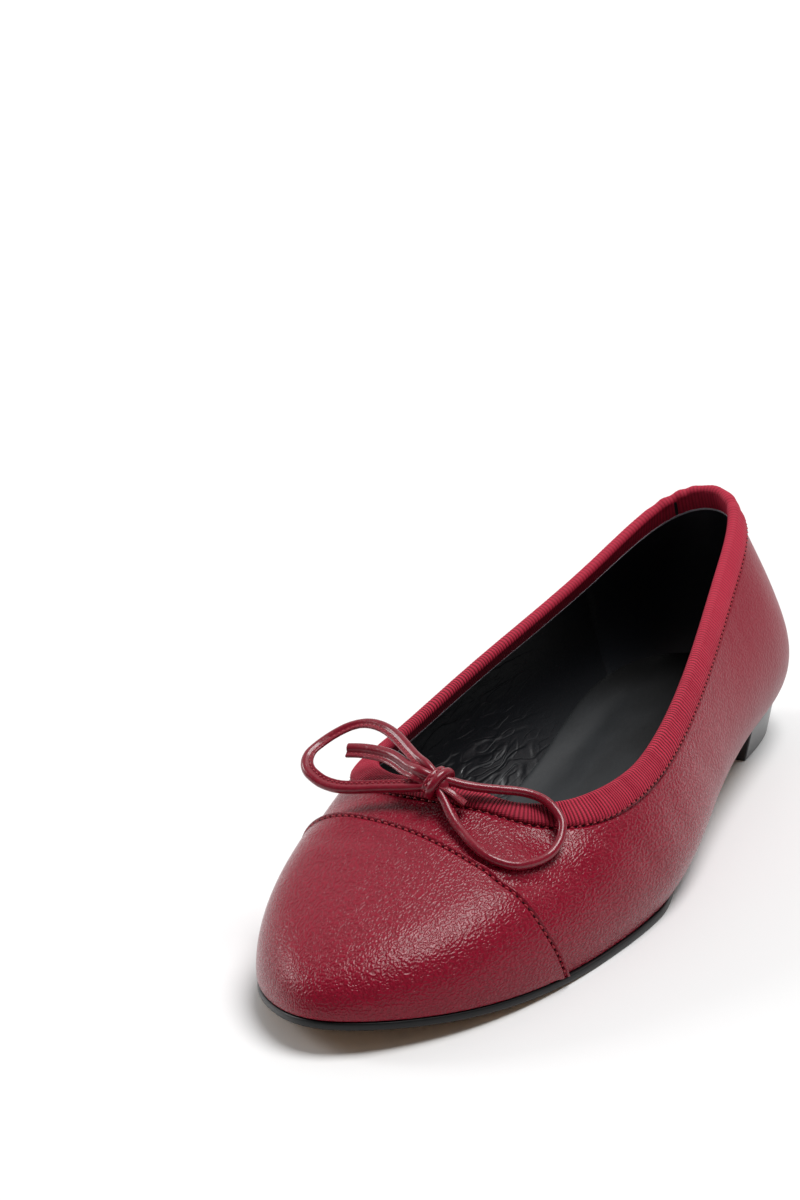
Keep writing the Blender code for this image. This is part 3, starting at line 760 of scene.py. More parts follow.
def colour(value):
    return value if isinstance(value, Signal) else (*tuple(value)[:3], 1.0)


class Finish:
    """A material with one Principled shader, or with two that blend over the surface."""

    def __init__(self, name):
        self.material = bpy.data.materials.new(name)
        self.material.use_nodes = True
        self.tree = self.material.node_tree
        self.shader = self.tree.nodes["Principled BSDF"]
        self.start = Signal(self.tree)
        self.place = self.start.node("ShaderNodeTexCoord", output=3)
        self.chart = self.start.node("ShaderNodeUVMap", {"uv_map": "chart"})

    def noise(self, scale, detail=2.0, roughness=0.5, at=None, distortion=0.0):
        inputs = {"Vector": at or self.place, "Scale": scale, "Detail": detail}
        inputs.update({"Roughness": roughness, "Distortion": distortion})
        return self.start.node("ShaderNodeTexNoise", inputs=inputs)

    def ridges(self, at, pitch):
        """Short winding ridges about a pitch apart."""
        field = self.noise(1.60 / pitch, detail=0.5, at=self.stretched(at, 0.55, 1.0, 1.0))
        return field.spread(0.30, 0.70)

    def creases(self, at, pitch):
        """Long soft folds about a pitch apart, with a thin crest on each."""
        field = self.noise(0.62 / pitch, detail=0.0, at=at)
        crest = (field - 0.5).size()
        return field.spread(0.36, 0.64) * 0.6 + crest.spread(0.10, 0.0) * 0.4

    def stretched(self, at, x, y, z):
        return self.start.node("ShaderNodeMapping", inputs={"Vector": at, "Scale": (x, y, z)})

    def shift(self, at, amount, scale):
        """Coordinates pushed about by noise, so that a pattern isn't regular."""
        noise = {"Vector": at, "Scale": scale, "Detail": 1.0}
        push = self.start.node("ShaderNodeTexNoise", inputs=noise, output=1)
        push = self.vector("SUBTRACT", {0: push, 1: (0.5, 0.5, 0.5)})
        push = self.vector("SCALE", {0: push, "Scale": amount})
        return self.vector("ADD", {0: at, 1: push})

    def vector(self, operation, inputs):
        return self.start.node("ShaderNodeVectorMath", {"operation": operation}, inputs)

    def bump(self, height, depth, strength=1.0, under=None):
        inputs = {"Height": height, "Distance": depth, "Strength": strength}
        if under is not None:
            inputs["Normal"] = under
        return self.start.node("ShaderNodeBump", inputs=inputs)

    def blend_to(self, share):
        """From here on, set() works on a second shader that shows where the share is 1."""
        first = self.shader
        self.shader = self.tree.nodes.new("ShaderNodeBsdfPrincipled")
        mixed = self.tree.nodes.new("ShaderNodeMixShader")
        self.tree.links.new(share.socket, mixed.inputs[0])
        self.tree.links.new(first.outputs[0], mixed.inputs[1])
        self.tree.links.new(self.shader.outputs[0], mixed.inputs[2])
        self.tree.links.new(mixed.outputs[0], self.tree.nodes["Material Output"].inputs["Surface"])

    def set(self, **values):
        """Give the shader its colours, numbers and links by plain names."""
        names = {
            "colour": "Base Color", "roughness": "Roughness", "normal": "Normal", "coat": "Coat Weight",
            "coat_roughness": "Coat Roughness", "specular": "Specular IOR Level",
        }
        for key, value in values.items():
            socket = self.shader.inputs[names[key]]
            if isinstance(value, Signal):
                self.tree.links.new(value.socket, socket)
            else:
                socket.default_value = colour(value) if key == "colour" else value
        return self.material


def pebbled_leather(name, look):
    """Fine leather: winding ridges, weaker over the stiff heel, painted shade in the hollows and over the
    quarter, satin gloss.
    """
    finish = Finish(name)
    wavy = finish.shift(finish.place, 0.0006, 500.0)
    ridges = finish.ridges(wavy, look.grain)
    pores = finish.noise(1.4 / look.grain, detail=2.0, roughness=0.6, at=wavy)
    front = finish.place.part(0).spread(0.02, 0.12)
    worked = front * 0.62 + 0.38
    height = (ridges * 0.90 + pores * 0.25) * worked
    broad = finish.noise(95.0, detail=3.0)
    patches = finish.noise(28.0, detail=2.0)
    # Painted shade: the grain's hollows are darkened in colour.
    hollow = (1.0 - ridges) * worked
    shade = (hollow * 0.40).blend(look.colour, look.painted_shade)
    shade = (patches.spread(0.35, 0.7) * 0.22).blend(shade, scaled(look.colour, 0.72))
    normal = finish.bump(broad, 0.0006, 0.35)
    normal = finish.bump(height, 0.000115, 1.0, under=normal)
    # Painted shade: the quarter grows darker towards the heel.
    quarter_painted_shade = finish.place.part(0).spread(0.085, 0.050) * 0.12
    shade = quarter_painted_shade.blend(shade, look.painted_shade)
    finish.set(colour=shade, roughness=0.30 + hollow * 0.10, normal=normal, specular=0.10)
    finish.blend_to(front)
    return finish.set(colour=shade, roughness=0.20 + hollow * 0.08, normal=normal, specular=0.25)


def string_leather(look):
    """The same leather skived thin: finer grain, painted shade in its low spots and more gloss."""
    finish = Finish("string_leather")
    wavy = finish.shift(finish.place, 0.0006, 900.0)
    height = finish.noise(2100.0, detail=2.0, at=wavy, distortion=0.8)
    broad = finish.noise(380.0, detail=2.0)
    # Painted shade: the colour darkens in the grain's low spots.
    shade = (height.spread(0.6, 0.35) * 0.5).vary(look.colour, 1.0, 0.5)
    normal = finish.bump(broad, 0.00034, 0.5)
    normal = finish.bump(height, 0.00008, 0.6, under=normal)
    return finish.set(
        colour=shade, roughness=0.24 + broad * 0.10, normal=normal, specular=0.28,
        coat=0.32, coat_roughness=0.09,
    )


def ribbon_cloth(look):
    """Grosgrain: ribs over grooves darkened by painted shade, each rib twisted of fine yarns, and painted
    shade over the throat.
    """
    finish = Finish("grosgrain")
    along, across = finish.chart.part(0), finish.chart.part(1)
    phase = along / look.rib_pitch
    ridge = (phase * pi).sine().size()
    yarn = ((across / 0.00050 + phase * 0.5) * tau).sine()
    fuzz = finish.noise(2600.0, detail=2.0)
    tone = finish.noise(70.0, detail=2.0)
    crisp = finish.place.part(0).spread(0.010, 0.100) * 0.62 + 0.38
    # Painted shade: the grooves between the ribs are darkened in colour, less so towards the heel.
    lit = (ridge + yarn * 0.10).spread(0.34, 0.95) * crisp + (crisp * -0.84 + 0.84)
    shade = lit.blend(look.groove, look.colour)
    shade = (tone.spread(0.35, 0.75) * 0.30).blend(shade, scaled(look.colour, 0.62))
    # Painted shade: the ribbon darkens at the throat.
    throat = finish.place.part(0).spread(0.140, 0.160)
    shade = (throat * 0.30).blend(shade, scaled(look.colour, 0.20))
    height = (ridge * 0.9 + yarn * 0.16) * crisp + fuzz * 0.30
    normal = finish.bump(height, 0.00016, 0.8)
    return finish.set(colour=shade, roughness=0.62 + fuzz * 0.15, normal=normal, specular=0.22)


def noise_finish(name, shade, tones, scale, detail, bump, roughness, rougher=0.0, stretch=(1, 1, 1), **more):
    """A finish whose tone, bump and roughness all follow one fine noise."""
    finish = Finish(name)
    grain = finish.noise(scale, detail=detail, at=finish.stretched(finish.place, *stretch))
    rough = roughness + grain * rougher if rougher else roughness
    normal = finish.bump(grain, *bump)
    return finish.set(colour=grain.vary(shade, *tones), roughness=rough, normal=normal, **more)


def thread_finish(name, shade):
    """Twisted thread."""
    return noise_finish(name, shade, (0.7, 1.25), 3800.0, 1.0, (0.00008, 0.6), 0.5)


def needle_hole_shadow(name="needle_holes"):
    """The shadow inside a needle hole."""
    finish = Finish(name)
    return finish.set(colour=finish.noise(900.0).blend(HOLE_DARK, HOLE_LIGHT), roughness=0.9, specular=0.1)


def lining_leather(look):
    """Thin black lining leather, crinkled where the foot bends it, with a smoother heel grip."""
    finish = Finish("lining_leather")
    x, y, z = finish.place.part(0), finish.place.part(1), finish.place.part(2)
    bent = y.spread(-0.012, -0.024) * x.spread(0.030, 0.070) * x.spread(0.160, 0.125)
    drawn = finish.stretched(finish.shift(finish.place, 0.0032, 90.0), 0.19, 0.7, 1.0)
    small = finish.creases(finish.shift(drawn, 0.001, 300.0), 0.0010)
    crinkle = finish.creases(drawn, 0.0019) * 0.65 + small * 0.35
    fine = finish.noise(1500.0, detail=3.0)
    soft = finish.noise(60.0, detail=3.0)
    normal = finish.bump(soft, 0.0010, 0.3)
    normal = finish.bump(crinkle * (bent * 0.96 + 0.04), 0.00048, 0.9, under=normal)
    normal = finish.bump(fine, 0.00005, 0.5, under=normal)
    rise = z - GRIP_LOW
    grip = (x - GRIP_BACK - rise * rise * GRIP_CURVE).spread(0.0002, -0.0002)
    shade = grip.vary(look.lining_colour, 1.0, 1.7)
    roughness = 0.40 - bent * 0.06 + fine * 0.06
    return finish.set(colour=shade, roughness=roughness, normal=normal, specular=0.5)


def insole_leather(look):
    """Smooth sock leather with soft creases, lighter on their rises and darker in their dips as painted light
    and shade, and darker towards the heel as painted shade.
    """
    finish = Finish("insole_leather")
    fine = finish.noise(1300.0, detail=3.0)
    creases_and_shading = finish.noise(34.0, detail=4.0, at=finish.stretched(finish.place, 0.5, 1.4, 1.0))
    # Painted light and shade: the colour is lighter on the rises of the soft creases and darker in their dips.
    shade = creases_and_shading.spread(0.35, 0.75).vary(look.insole_colour, 0.5, 1.8)
    # Painted shade: the insole darkens towards the heel, inside the counter.
    shade = finish.place.part(0).spread(0.050, -0.010).blend(shade, scaled(look.insole_colour, 0.12))
    normal = finish.bump(creases_and_shading, 0.0012, 0.35)
    normal = finish.bump(fine, 0.00004, 0.5, under=normal)
    return finish.set(colour=shade, roughness=0.42 + fine * 0.12, normal=normal, specular=0.45)


def cut_edge(look):
    """The pale cut edge of the lining."""
    return noise_finish("lining_cut_edge", look.edge_colour, (0.6, 1.3), 1200.0, 3.0, (0.00008, 0.6), 0.6)


def edge_finish(look):
    """Satin black dye on the sole's edge."""
    return noise_finish(
        "sole_edge_finish", look.edge_colour, (1, 1), 1400.0, 2.0, (0.00005, 0.4), 0.36, 0.06, specular=0.3
    )


def under_finish(look):
    """The sole's natural underside with brushed fibres."""
    return noise_finish(
        "sole_leather", look.under_colour, (0.8, 1.15), 160.0, 4.0, (0.00008, 0.5), 0.60,
        stretch=(0.25, 2.0, 1.0),
    )


def heel_finish(look):
    """Satin black block with faint layers."""
    return noise_finish(
        "heel_block_finish", look.heel_colour, (0.7, 1.4), 900.0, 3.0, (0.00004, 0.4), 0.30, 0.08,
        stretch=(1.0, 1.0, 4.0), specular=0.5, coat=0.15,
    )


def floor_finish(look):
    """A pale, slightly glossy floor."""
    finish = Finish("studio_floor")
    drift = finish.noise(2.0, detail=1.0)
    return finish.set(colour=look.floor_colour, roughness=0.45 + drift * 0.05, specular=0.10)


# ------------------------------------------------------------------ pieces


def shares_near_collar(ribs, outward, below, drops):
    """Shares up each rib: evenly spaced ones and then ones at distances from the collar."""
    fine = np.linspace(1, 0, 121)
    walked = walked_down(skin(ribs, outward, fine, creased=False)[0])
    near = np.stack([np.interp(drops, row, fine) for row in walked])
    even = np.linspace(0, 1, below, endpoint=False)[None] * near[:, :1]
    return np.concatenate([even, near], axis=1)


def make_upper(look):
    """Vamp and quarters in one shell of outer leather, sunk along the ribbon's stitches."""
    ribs, outward, _ = last_ribs(SURFACE_COLUMNS)
    drops = np.array([7.6, 7.0, 6.6, 6.3, 6.05, 5.85, 5.65, 5.45, 5.25, 5.0, 4.0, 2.5, 1.0, 0.0]) / 1000
    below = 72
    shares = shares_near_collar(ribs, outward, below, drops)
    outer, normal = skin(ribs, outward, shares)
    sunk = np.zeros(below + len(drops))
    sunk[below:] = STITCH_DRAW * np.exp(-(((drops - RIBBON_DROP - STITCH_BELOW) / STITCH_DRAW_WIDTH) ** 2))
    outer = outer - normal * sunk[None, :, None]
    inner = (outer - normal * LEATHER)[:, ::-7]
    finish = pebbled_leather("outer_leather", look.leather)
    item = grid_piece("upper_leather", np.concatenate([outer, inner], axis=1), finish)
    return dress(item, "upper", "upper")


def grip_step(points):
    """1 on the heel grip and 0 in front of its curved edge."""
    x = points[..., 0] - heel_rest()
    edge = GRIP_BACK + GRIP_CURVE * np.clip(points[..., 2] - GRIP_LOW, 0, 1) ** 2
    return 1 / (1 + np.exp(np.clip((x - edge) / 0.00012, -30, 30)))


def make_lining(look):
    """The black lining with its heel grip, folds and pale cut edge."""
    ribs, outward, _ = last_ribs(SURFACE_COLUMNS)
    shares = np.linspace(0, 1, 84)
    outer, normal = skin(ribs, outward, shares, creased=False)
    face = outer - normal * WALL
    lift = GRIP_STEP * grip_step(face) - crease_height(face, LINING_FOLDS)
    face = face - normal * lift[..., None]
    back = (outer - normal * (LEATHER + 0.0001))[:, ::-7]
    item = grid_piece("lining", np.concatenate([face, back], axis=1), lining_leather(look.inside))
    dress(item, "lining")
    ribs, outward, _ = last_ribs(720, "collar")
    drops = np.array([0.0, 0.0, 0.00055, 0.00055]) + RIBBON_TURN - 0.0001
    spots, faces = down_from_collar(ribs, outward, drops)
    spots = spots - faces * (WALL + np.array([0.0, 0.0007, 0.0006, 0.0]))[None, :, None]
    dress(grid_piece("lining_edge", spots, cut_edge(look.inside)), "lining")


def cap_rows():
    """The cap's section from its foot up over the folded edge: distance and height."""
    t = CAP_THICKNESS
    edge = [(2.6, 1.0), (2.2, 1.0), (1.8, 0.98), (1.60, 0.86), (1.40, 0.64), (1.20, 0.64), (1.00, 0.90)]
    edge += [(0.80, 1.16), (0.60, 1.36), (0.42, 1.38), (0.26, 1.24), (0.12, 0.90), (0.03, 0.45), (0.0, 0.1)]
    return [(far / 1000, high * t + GAP * 0.5) for far, high in edge]


def make_toe_cap(look):
    """The toe cap: its folded edge stands up behind a sunk row of stitches."""
    ribs, outward, _ = last_ribs(900)
    fine = np.linspace(0, 0.93, 140)
    points, normal = skin(ribs, outward, fine)
    ahead = ahead_of_seam(points)
    edge = cap_rows()
    body = 46
    shares = np.zeros((len(ribs), body + len(edge)))
    heights = np.full(body + len(edge), CAP_THICKNESS + GAP * 0.5)
    for i in range(len(ribs)):
        down = np.maximum.accumulate(-ahead[i]) + np.arange(len(fine)) * 1e-9
        limits = np.interp([-far for far, _ in edge], down, fine, left=0.0)
        shares[i, body:] = limits
        shares[i, :body] = np.linspace(0, 1, body, endpoint=False) * limits[0]
    heights[body:] = [high for _, high in edge]
    kept = ahead[:, 0] > 0
    start = int(np.argmax(kept & ~np.roll(kept, 1)))
    order = [(start + k) % len(ribs) for k in range(int(kept.sum()))]
    outer, normal = skin(ribs, outward, shares)
    far = outer + normal * heights[None, :, None]
    foot = foot_row(ribs, outward, GAP + CAP_THICKNESS * CAP_FOOT, GAP)
    ease = np.exp(-shares[:, :6] / 0.02)[..., None]
    far[:, :6] = far[:, :6] * (1 - ease) + (foot[:, None] + (outer[:, :6] - outer[:, :1])) * ease
    near = (outer + normal * 0.00008)[:, ::-5]
    section = np.concatenate([far, near], axis=1)[order]
    count = section.shape[1]
    last = (len(order) - 1) * count
    lids = [list(range(count)), list(range(last, last + count))]
    finish = pebbled_leather("cap_leather", look.leather)
    item = grid_piece("toe_cap_leather", section, finish, closed_i=False, lids=lids)
    dress(item, "upper", "toe_cap")
    groove = body + [far for far, _ in edge].index(0.0014)
    path = (far[:, groove] * 0.5 + far[:, groove + 1] * 0.5)[order]
    keep = ahead[order, 0] > 0.0016
    faces = normal[:, groove][order][keep]
    path = path[keep] + faces * CAP_THREAD_OUT
    leather = look.leather
    threads = [thread_finish("cap_thread", leather.thread_colour), needle_hole_shadow()]
    row = stitch_row(
        "cap_stitches", path, faces, leather.stitch_pitch, leather.stitch_length, leather.thread,
        threads, False,
    )
    dress(row, "upper")


def ribbon_section():
    """The ribbon's section as distance down, way out and how much of the ribs shows."""
    near, far = 0.0001, RIBBON_OUT
    outside = []
    for share in np.linspace(0, 1, 12) ** 1.15:
        curl = 1 - np.clip(share / 0.16, 0, 1)
        out = far + 0.00042 * sin(pi * min(share * 1.05, 1)) - (far - 0.00025) * curl**2.4
        outside.append((RIBBON_DROP * (1 - share) + 0.00002, out, min(1.0, 0.5 + share * 5)))
    radius = WALL / 2 + far
    fold = []
    for angle in np.linspace(0, 180, 12)[1:-1]:
        bend = radians(angle)
        fold.append((-radius * sin(bend), radius * cos(bend) - WALL / 2, 1.0))
    inside = [(drop, -WALL - far * 0.8, 0.3) for drop in np.linspace(0, RIBBON_TURN, 6)]
    back = [(RIBBON_TURN, -WALL - near, 0.0), (-near, -WALL / 2, 0.0), (RIBBON_DROP, near, 0.0)]
    return outside + fold + inside + back


def make_binding(look):
    """The ribbed ribbon folded over the collar, gathered round the heel and stitched down."""
    ribbon = look.ribbon
    ribs, _, around = last_ribs(COLLAR_COLUMNS, "collar")
    spacing = ribbon.rib_pitch * (1 + 0.40 * eased((0.152 - ribs[:, 2]) / 0.030))
    passed = np.concatenate([[0.0], np.cumsum(around / len(ribs) / spacing)])
    count = round(passed[-1]) * RIB_POINTS
    even = np.interp(np.arange(count) / count, passed / passed[-1], np.linspace(0, around, len(passed)))
    calm = np.sin(pi * even / around) ** 0.5
    drift = 0.30 * np.sin(even * tau / 0.0191) + 0.20 * np.sin(even * tau / 0.0073 + 1.0)
    place = even + drift * ribbon.rib_pitch * calm
    drops, outs, shown = np.array(ribbon_section()).T
    spots, faces, upward = square_from_collar(place, drops)
    lift = RIBBON_LIFT * eased((spots[:, 0, 0] - 0.135) / 0.030)
    raised = np.clip(1 - drops / 0.0030, 0, 1)
    spots = spots + faces * outs[None, :, None]
    spots += upward[:, None] * (np.maximum(-drops, 0)[None] + lift[:, None] * raised[None])[..., None]
    normal = unit(np.cross(across_ring(spots, axis=1), across_ring(spots)))
    ridge = np.abs(np.sin(pi * np.arange(count) / RIB_POINTS)) ** 0.8
    strength = 1 + 0.20 * np.sin(even * tau / 0.0127) + 0.15 * np.sin(even * tau / 0.0041)
    side = np.where(spots[:, 0, 1] > 0, 1.0, 0.75)
    strength *= 0.30 + 0.70 * np.clip((spots[:, 0, 0] - 0.020) / 0.075, 0, 1) * side
    push = (ribbon.rib_height * (ridge - 0.6) * strength)[:, None] * shown[None]
    edge = spots[:, int(np.argmin(drops))]
    for gather in GATHERS:
        spot = np.array([gather.x / 1000 + heel_rest(), gather.y / 1000])
        nearest = int(np.argmin(np.linalg.norm(edge[:, :2] - spot, axis=1)))
        gap = np.abs(even - even[nearest])
        gap = np.minimum(gap, around - gap) * 1000
        share = gap / gather.width
        wave = np.exp(-(share**2)) - 0.6 * np.exp(-((share - 2) ** 2))
        push -= gather.depth / 1000 * wave[:, None] * shown[None]
    spots = spots + normal * push[..., None]
    lengths = np.linalg.norm(np.diff(spots[0], axis=0, append=spots[0][:1]), axis=1)
    down = np.concatenate([[0.0], np.cumsum(lengths)])
    turned = np.arange(count + 1) / RIB_POINTS * ribbon.rib_pitch
    chart = np.stack(np.meshgrid(turned, down, indexing="ij"), axis=-1)
    item = grid_piece("binding_ribbon", spots, ribbon_cloth(ribbon), chart=chart)
    dress(item, "binding", "binding")
    places = np.linspace(0, around, COLLAR_COLUMNS, endpoint=False)
    drops = np.array([RIBBON_DROP + STITCH_BELOW, RIBBON_DROP - STITCH_ABOVE])
    rows, faces, _ = square_from_collar(places, drops)
    ahead = np.clip((rows[:, 0, :1] - 0.152) / 0.020, 0, 1)
    below = rows[:, 0] - faces[:, 0] * LEATHER_THREAD_IN
    above = rows[:, 1] + faces[:, 1] * (RIBBON_OUT + RIBBON_THREAD_OUT)
    leather = look.leather
    thread = thread_finish("binding_thread", scaled(leather.thread_colour, 1.05))
    stitches = stitch_row(
        "binding_stitches", below * ahead + above * (1 - ahead), faces[:, 0],
        leather.stitch_pitch, leather.stitch_length * 0.85, leather.thread * 0.88,
        [thread, needle_hole_shadow("binding_holes")], True,
    )
    dress(stitches, "binding")


def outline_halves(offset, stations, across):
    """A plan grid inside the foot line: stations along it and points from side to side."""
    ribs, outward, _ = last_ribs(960)
    ring = ribs[:, :2] + outward * offset
    back, tip = int(np.argmin(ring[:, 0])), int(np.argmax(ring[:, 0]))
    ring = np.roll(ring, -back, axis=0)
    tip = (tip - back) % len(ring)
    lateral, medial = ring[: tip + 1], np.vstack([ring[tip:], ring[:1]])[::-1]
    low, high = ring[0, 0], ring[tip, 0]
    x = low + (high - low) * (1 - np.cos(np.linspace(0, pi, stations))) / 2
    far = np.interp(x, lateral[:, 0], lateral[:, 1])
    near = np.interp(x, medial[:, 0], medial[:, 1])
    share = (1 - np.cos(np.linspace(0, pi, across))) / 2
    y = near[:, None] + (far - near)[:, None] * share[None]
    edge = np.minimum(far[:, None] - y, y - near[:, None])
    edge = np.minimum(edge, np.minimum(x - low, high - x)[:, None])
    return np.broadcast_to(x[:, None], y.shape), y, edge


def mound(place, middle, width):
    """1 at a middle and less to both sides of it."""
    return np.exp(-(((place - middle) / width) ** 2))


def make_insole(look):
    """The sock: dished, with a soft arch cushion and the hollow beside it."""
    x, y, edge = outline_halves(-(WALL - 0.0005), 200, 60)
    shoe_x = (x - heel_rest()) * 1000
    side = y * 1000
    line = -13.0 + 0.05 * (shoe_x - 44)
    top = deck(x) + GAP + INSOLE_THICKNESS - INSOLE_DISH * (1 - np.exp(-edge / 0.003))
    top -= INSOLE_HOLLOW * mound(side, line, 3.6) * mound(shoe_x, 36, 30)
    top += INSOLE_CUSHION * mound(side, -21, 5.5) * mound(shoe_x, 58, 28)
    top -= INSOLE_RIM * np.exp(-edge / 0.0004)
    bottom = deck(x) + GAP * 0.5
    faces = np.stack([x, y, top], axis=-1), np.stack([x, y, bottom], axis=-1)[:, ::-1]
    grid = np.concatenate(faces, axis=1)
    item = grid_piece("insole_sock", grid, insole_leather(look.inside), closed_i=False)
    dress(item, "lining", "insole")


def tuck(x):
    """How far the sole's edge draws in under the waist and the seat."""
    return SOLE_TUCK * eased((0.148 - x) / 0.026)


def make_outsole(look):
    """The thin sole with its rounded black edge."""
    ribs, outward, _ = last_ribs(SURFACE_COLUMNS)
    edge = ribs[:, 9:10] - tuck(ribs[:, :1])
    thick = SOLE_THICKNESS
    rows = [(-0.0030, 0.0), (-0.00055, 0.0), (-0.00028, -0.00005), (-0.0001, -0.0002), (0.0, -0.00045)]
    rows += [(0.00008, -thick / 2), (0.0, 0.00045 - thick), (-0.0001, 0.0002 - thick)]
    rows += [(-0.00028, 0.00005 - thick), (-0.00055, -thick), (-0.0030, -thick)]
    rings = [foot_row(ribs, outward, edge + out, lift) for out, lift in rows]
    grid = np.stack(rings, axis=1)
    count_i, count_j = grid.shape[:2]
    lids = []
    for j in (0, count_j - 1):
        ring = [i * count_j + j for i in range(count_i)]
        half = count_i // 2
        lids.append([ring[0], ring[1], ring[-1]])
        lids += [[ring[k], ring[k + 1], ring[-k - 1], ring[-k]] for k in range(1, half - 1)]
        lids.append([ring[half - 1], ring[half], ring[half + 1]])
    item = grid_piece("outsole_leather", grid, edge_finish(look.sole), closed_j=False, lids=lids)
    item.data.materials.append(under_finish(look.sole))
    for face in item.data.polygons:
        face.material_index = int(face.normal.z < -0.8)
    dress(item, "sole", "outsole")


def heel_outline():
    """The seat's outline from its lateral to its medial corner, closed by the breast."""
    ribs, outward, _ = last_ribs(240)
    line = ribs[:, :2] + outward * ribs[:, 9:10]
    half = len(line) // 2
    sides = []
    for side in (line[: half // 2], np.roll(line[::-1], 1, axis=0)[: half // 2]):
        kept = side[side[:, 0] < HEEL_LENGTH - EDGE_MARGIN]
        width = np.interp(HEEL_LENGTH, side[:, 0], side[:, 1])
        sides.append(np.vstack([kept, [HEEL_LENGTH, width]]))
    ring = np.vstack([sides[0][::-1], sides[1][1:]])
    shares = np.linspace(0, 1, 13)[1:-1]
    breast = [ring[-1] + (ring[0] - ring[-1]) * share for share in shares]
    breast = [(x - BREAST_CURVE * sin(pi * share), y) for (x, y), share in zip(breast, shares)]
    return np.vstack([ring, breast])


def make_heel(look):
    """The low block, tapered to its foot, with softened edges."""
    line = heel_outline()
    rings = []
    for share in (0.0, 0.35, 0.7, 1.0):
        inset = HEEL_TOP_IN + share * (HEEL_FOOT_IN - HEEL_TOP_IN)
        narrow = 1 - inset / (HEEL_WIDTH / 2)
        short = 1 - inset / HEEL_LENGTH
        x = HEEL_LENGTH - (HEEL_LENGTH - line[:, 0]) * short
        top = tread(line[:, 0]) - GAP * 0.4
        rings.append(np.column_stack([x, line[:, 1] * narrow, top * (1 - share)]))
    grid = np.stack(rings, axis=1)
    count_i, count_j = grid.shape[:2]
    lids = [[i * count_j + j for i in range(count_i)] for j in (0, count_j - 1)]
    item = grid_piece("heel_block", grid, heel_finish(look.sole), closed_j=False, lids=lids)
    deselect()
    item.select_set(True)
    bpy.context.view_layer.objects.active = item
    soften = item.modifiers.new("soften", "BEVEL")
    soften.width, soften.segments = HEEL_SOFTENING, 3
    soften.limit_method, soften.angle_limit = "ANGLE", radians(40)
    bpy.ops.object.modifier_apply(modifier="soften")
    bpy.ops.object.shade_smooth_by_angle(angle=radians(35))
    dress(item, "heel", "heel")


def string_section(look):
    """The folded string's section: a round bead with a flat flange, x towards the flange."""
    bead, reach = look.bead, look.flange
    arc = [radians(angle) for angle in np.linspace(38, 322, 13)]
    round_side = [(bead * cos(a) - bead * 0.35, bead * sin(a)) for a in arc]
    start = bead * 0.60
    under = [(start, -0.00034), (start + reach * 0.30, -0.00027), (start + reach * 0.6, -0.00031)]
    under += [(start + reach * 0.92, -0.00030), (start + reach, -0.00016)]
    over = [(x, -y) for x, y in reversed(under)]
    return np.array(round_side + under + over)


def string_frames(route, turns, aim):
    """Points along a route with the way to the flange and the way across it."""
    line = smooth_route(route, STRING_STEP, extra=turns)
    points, turn = line[:, :3], np.radians(line[:, 3])
    way, across, inward = frames_along(points, np.asarray(aim) - points)
    across = -across
    flange = inward * np.cos(turn)[:, None] + across * np.sin(turn)[:, None]
    return points, way, flange, np.cross(way, flange)


def string_piece(name, look, stretches, finish):
    """Stretches of string joined in one mesh, with the stitches of their flanges."""
    verts, faces, stitches = [], [], []
    models = [bead_model(*sizes[:3]) for sizes in STRING_STITCHES]
    for route, turns, aim, widen in stretches:
        points, way, flange, across = string_frames(route, turns, aim)
        section = string_section(look)[None] * widen
        grid = points[:, None] + section[..., 0:1] * flange[:, None] + section[..., 1:2] * across[:, None]
        count_i, count_j = grid.shape[:2]
        quads, _ = grid_faces(count_i, count_j, False, True)
        shift = sum(len(v) for v in verts)
        lids = [list(range(count_j)), list(range((count_i - 1) * count_j, count_i * count_j))]
        verts.append(grid.reshape(-1, 3))
        faces += (quads + shift).tolist() + [[c + shift for c in lid] for lid in lids]
        middle = (look.bead * 0.60 + look.flange * 0.36) * widen
        for side in (1, -1):
            for kind, (*_, height) in enumerate(STRING_STITCHES):
                rows = slice(kind + 2, -1, 2)
                out = across[rows] * side
                spot = points[rows] + flange[rows] * middle + out * height
                stitches.append((kind, models[kind], spot, way[rows], flange[rows] * -side, out))
    centre = np.array(KNOT_MIDDLE)
    mesh = bpy.data.meshes.new(name)
    mesh.from_pydata((np.vstack(verts) + centre).tolist(), [], faces)
    item = settle(name, mesh, finish, weld=0, sharp=60)
    threads = [thread_finish(name + "_thread", STRING_THREAD), needle_hole_shadow(name + "_holes")]
    return item, stitch_mesh(name + "_stitches", stitches, threads, centre)


def knot_ways():
    """The ways of the knot's length and depth, square to the bow's axis."""
    depth = (KNOT_UP - BOW_AXIS * KNOT_UP.dot(BOW_AXIS)).normalized()
    return depth.cross(BOW_AXIS), depth


def knot_wrap():
    """The string's turn round the knot, its ends tucked under."""
    length, depth = knot_ways()
    route = []
    for share in np.linspace(0, 1, KNOT_POINTS):
        angle = radians(-105 + share * KNOT_TURN)
        out = length * (KNOT_REACH * cos(angle)) + depth * (KNOT_DEPTH * sin(angle))
        route.append(tuple(out + BOW_AXIS * (0.0010 - 0.0012 * share)))
    return route


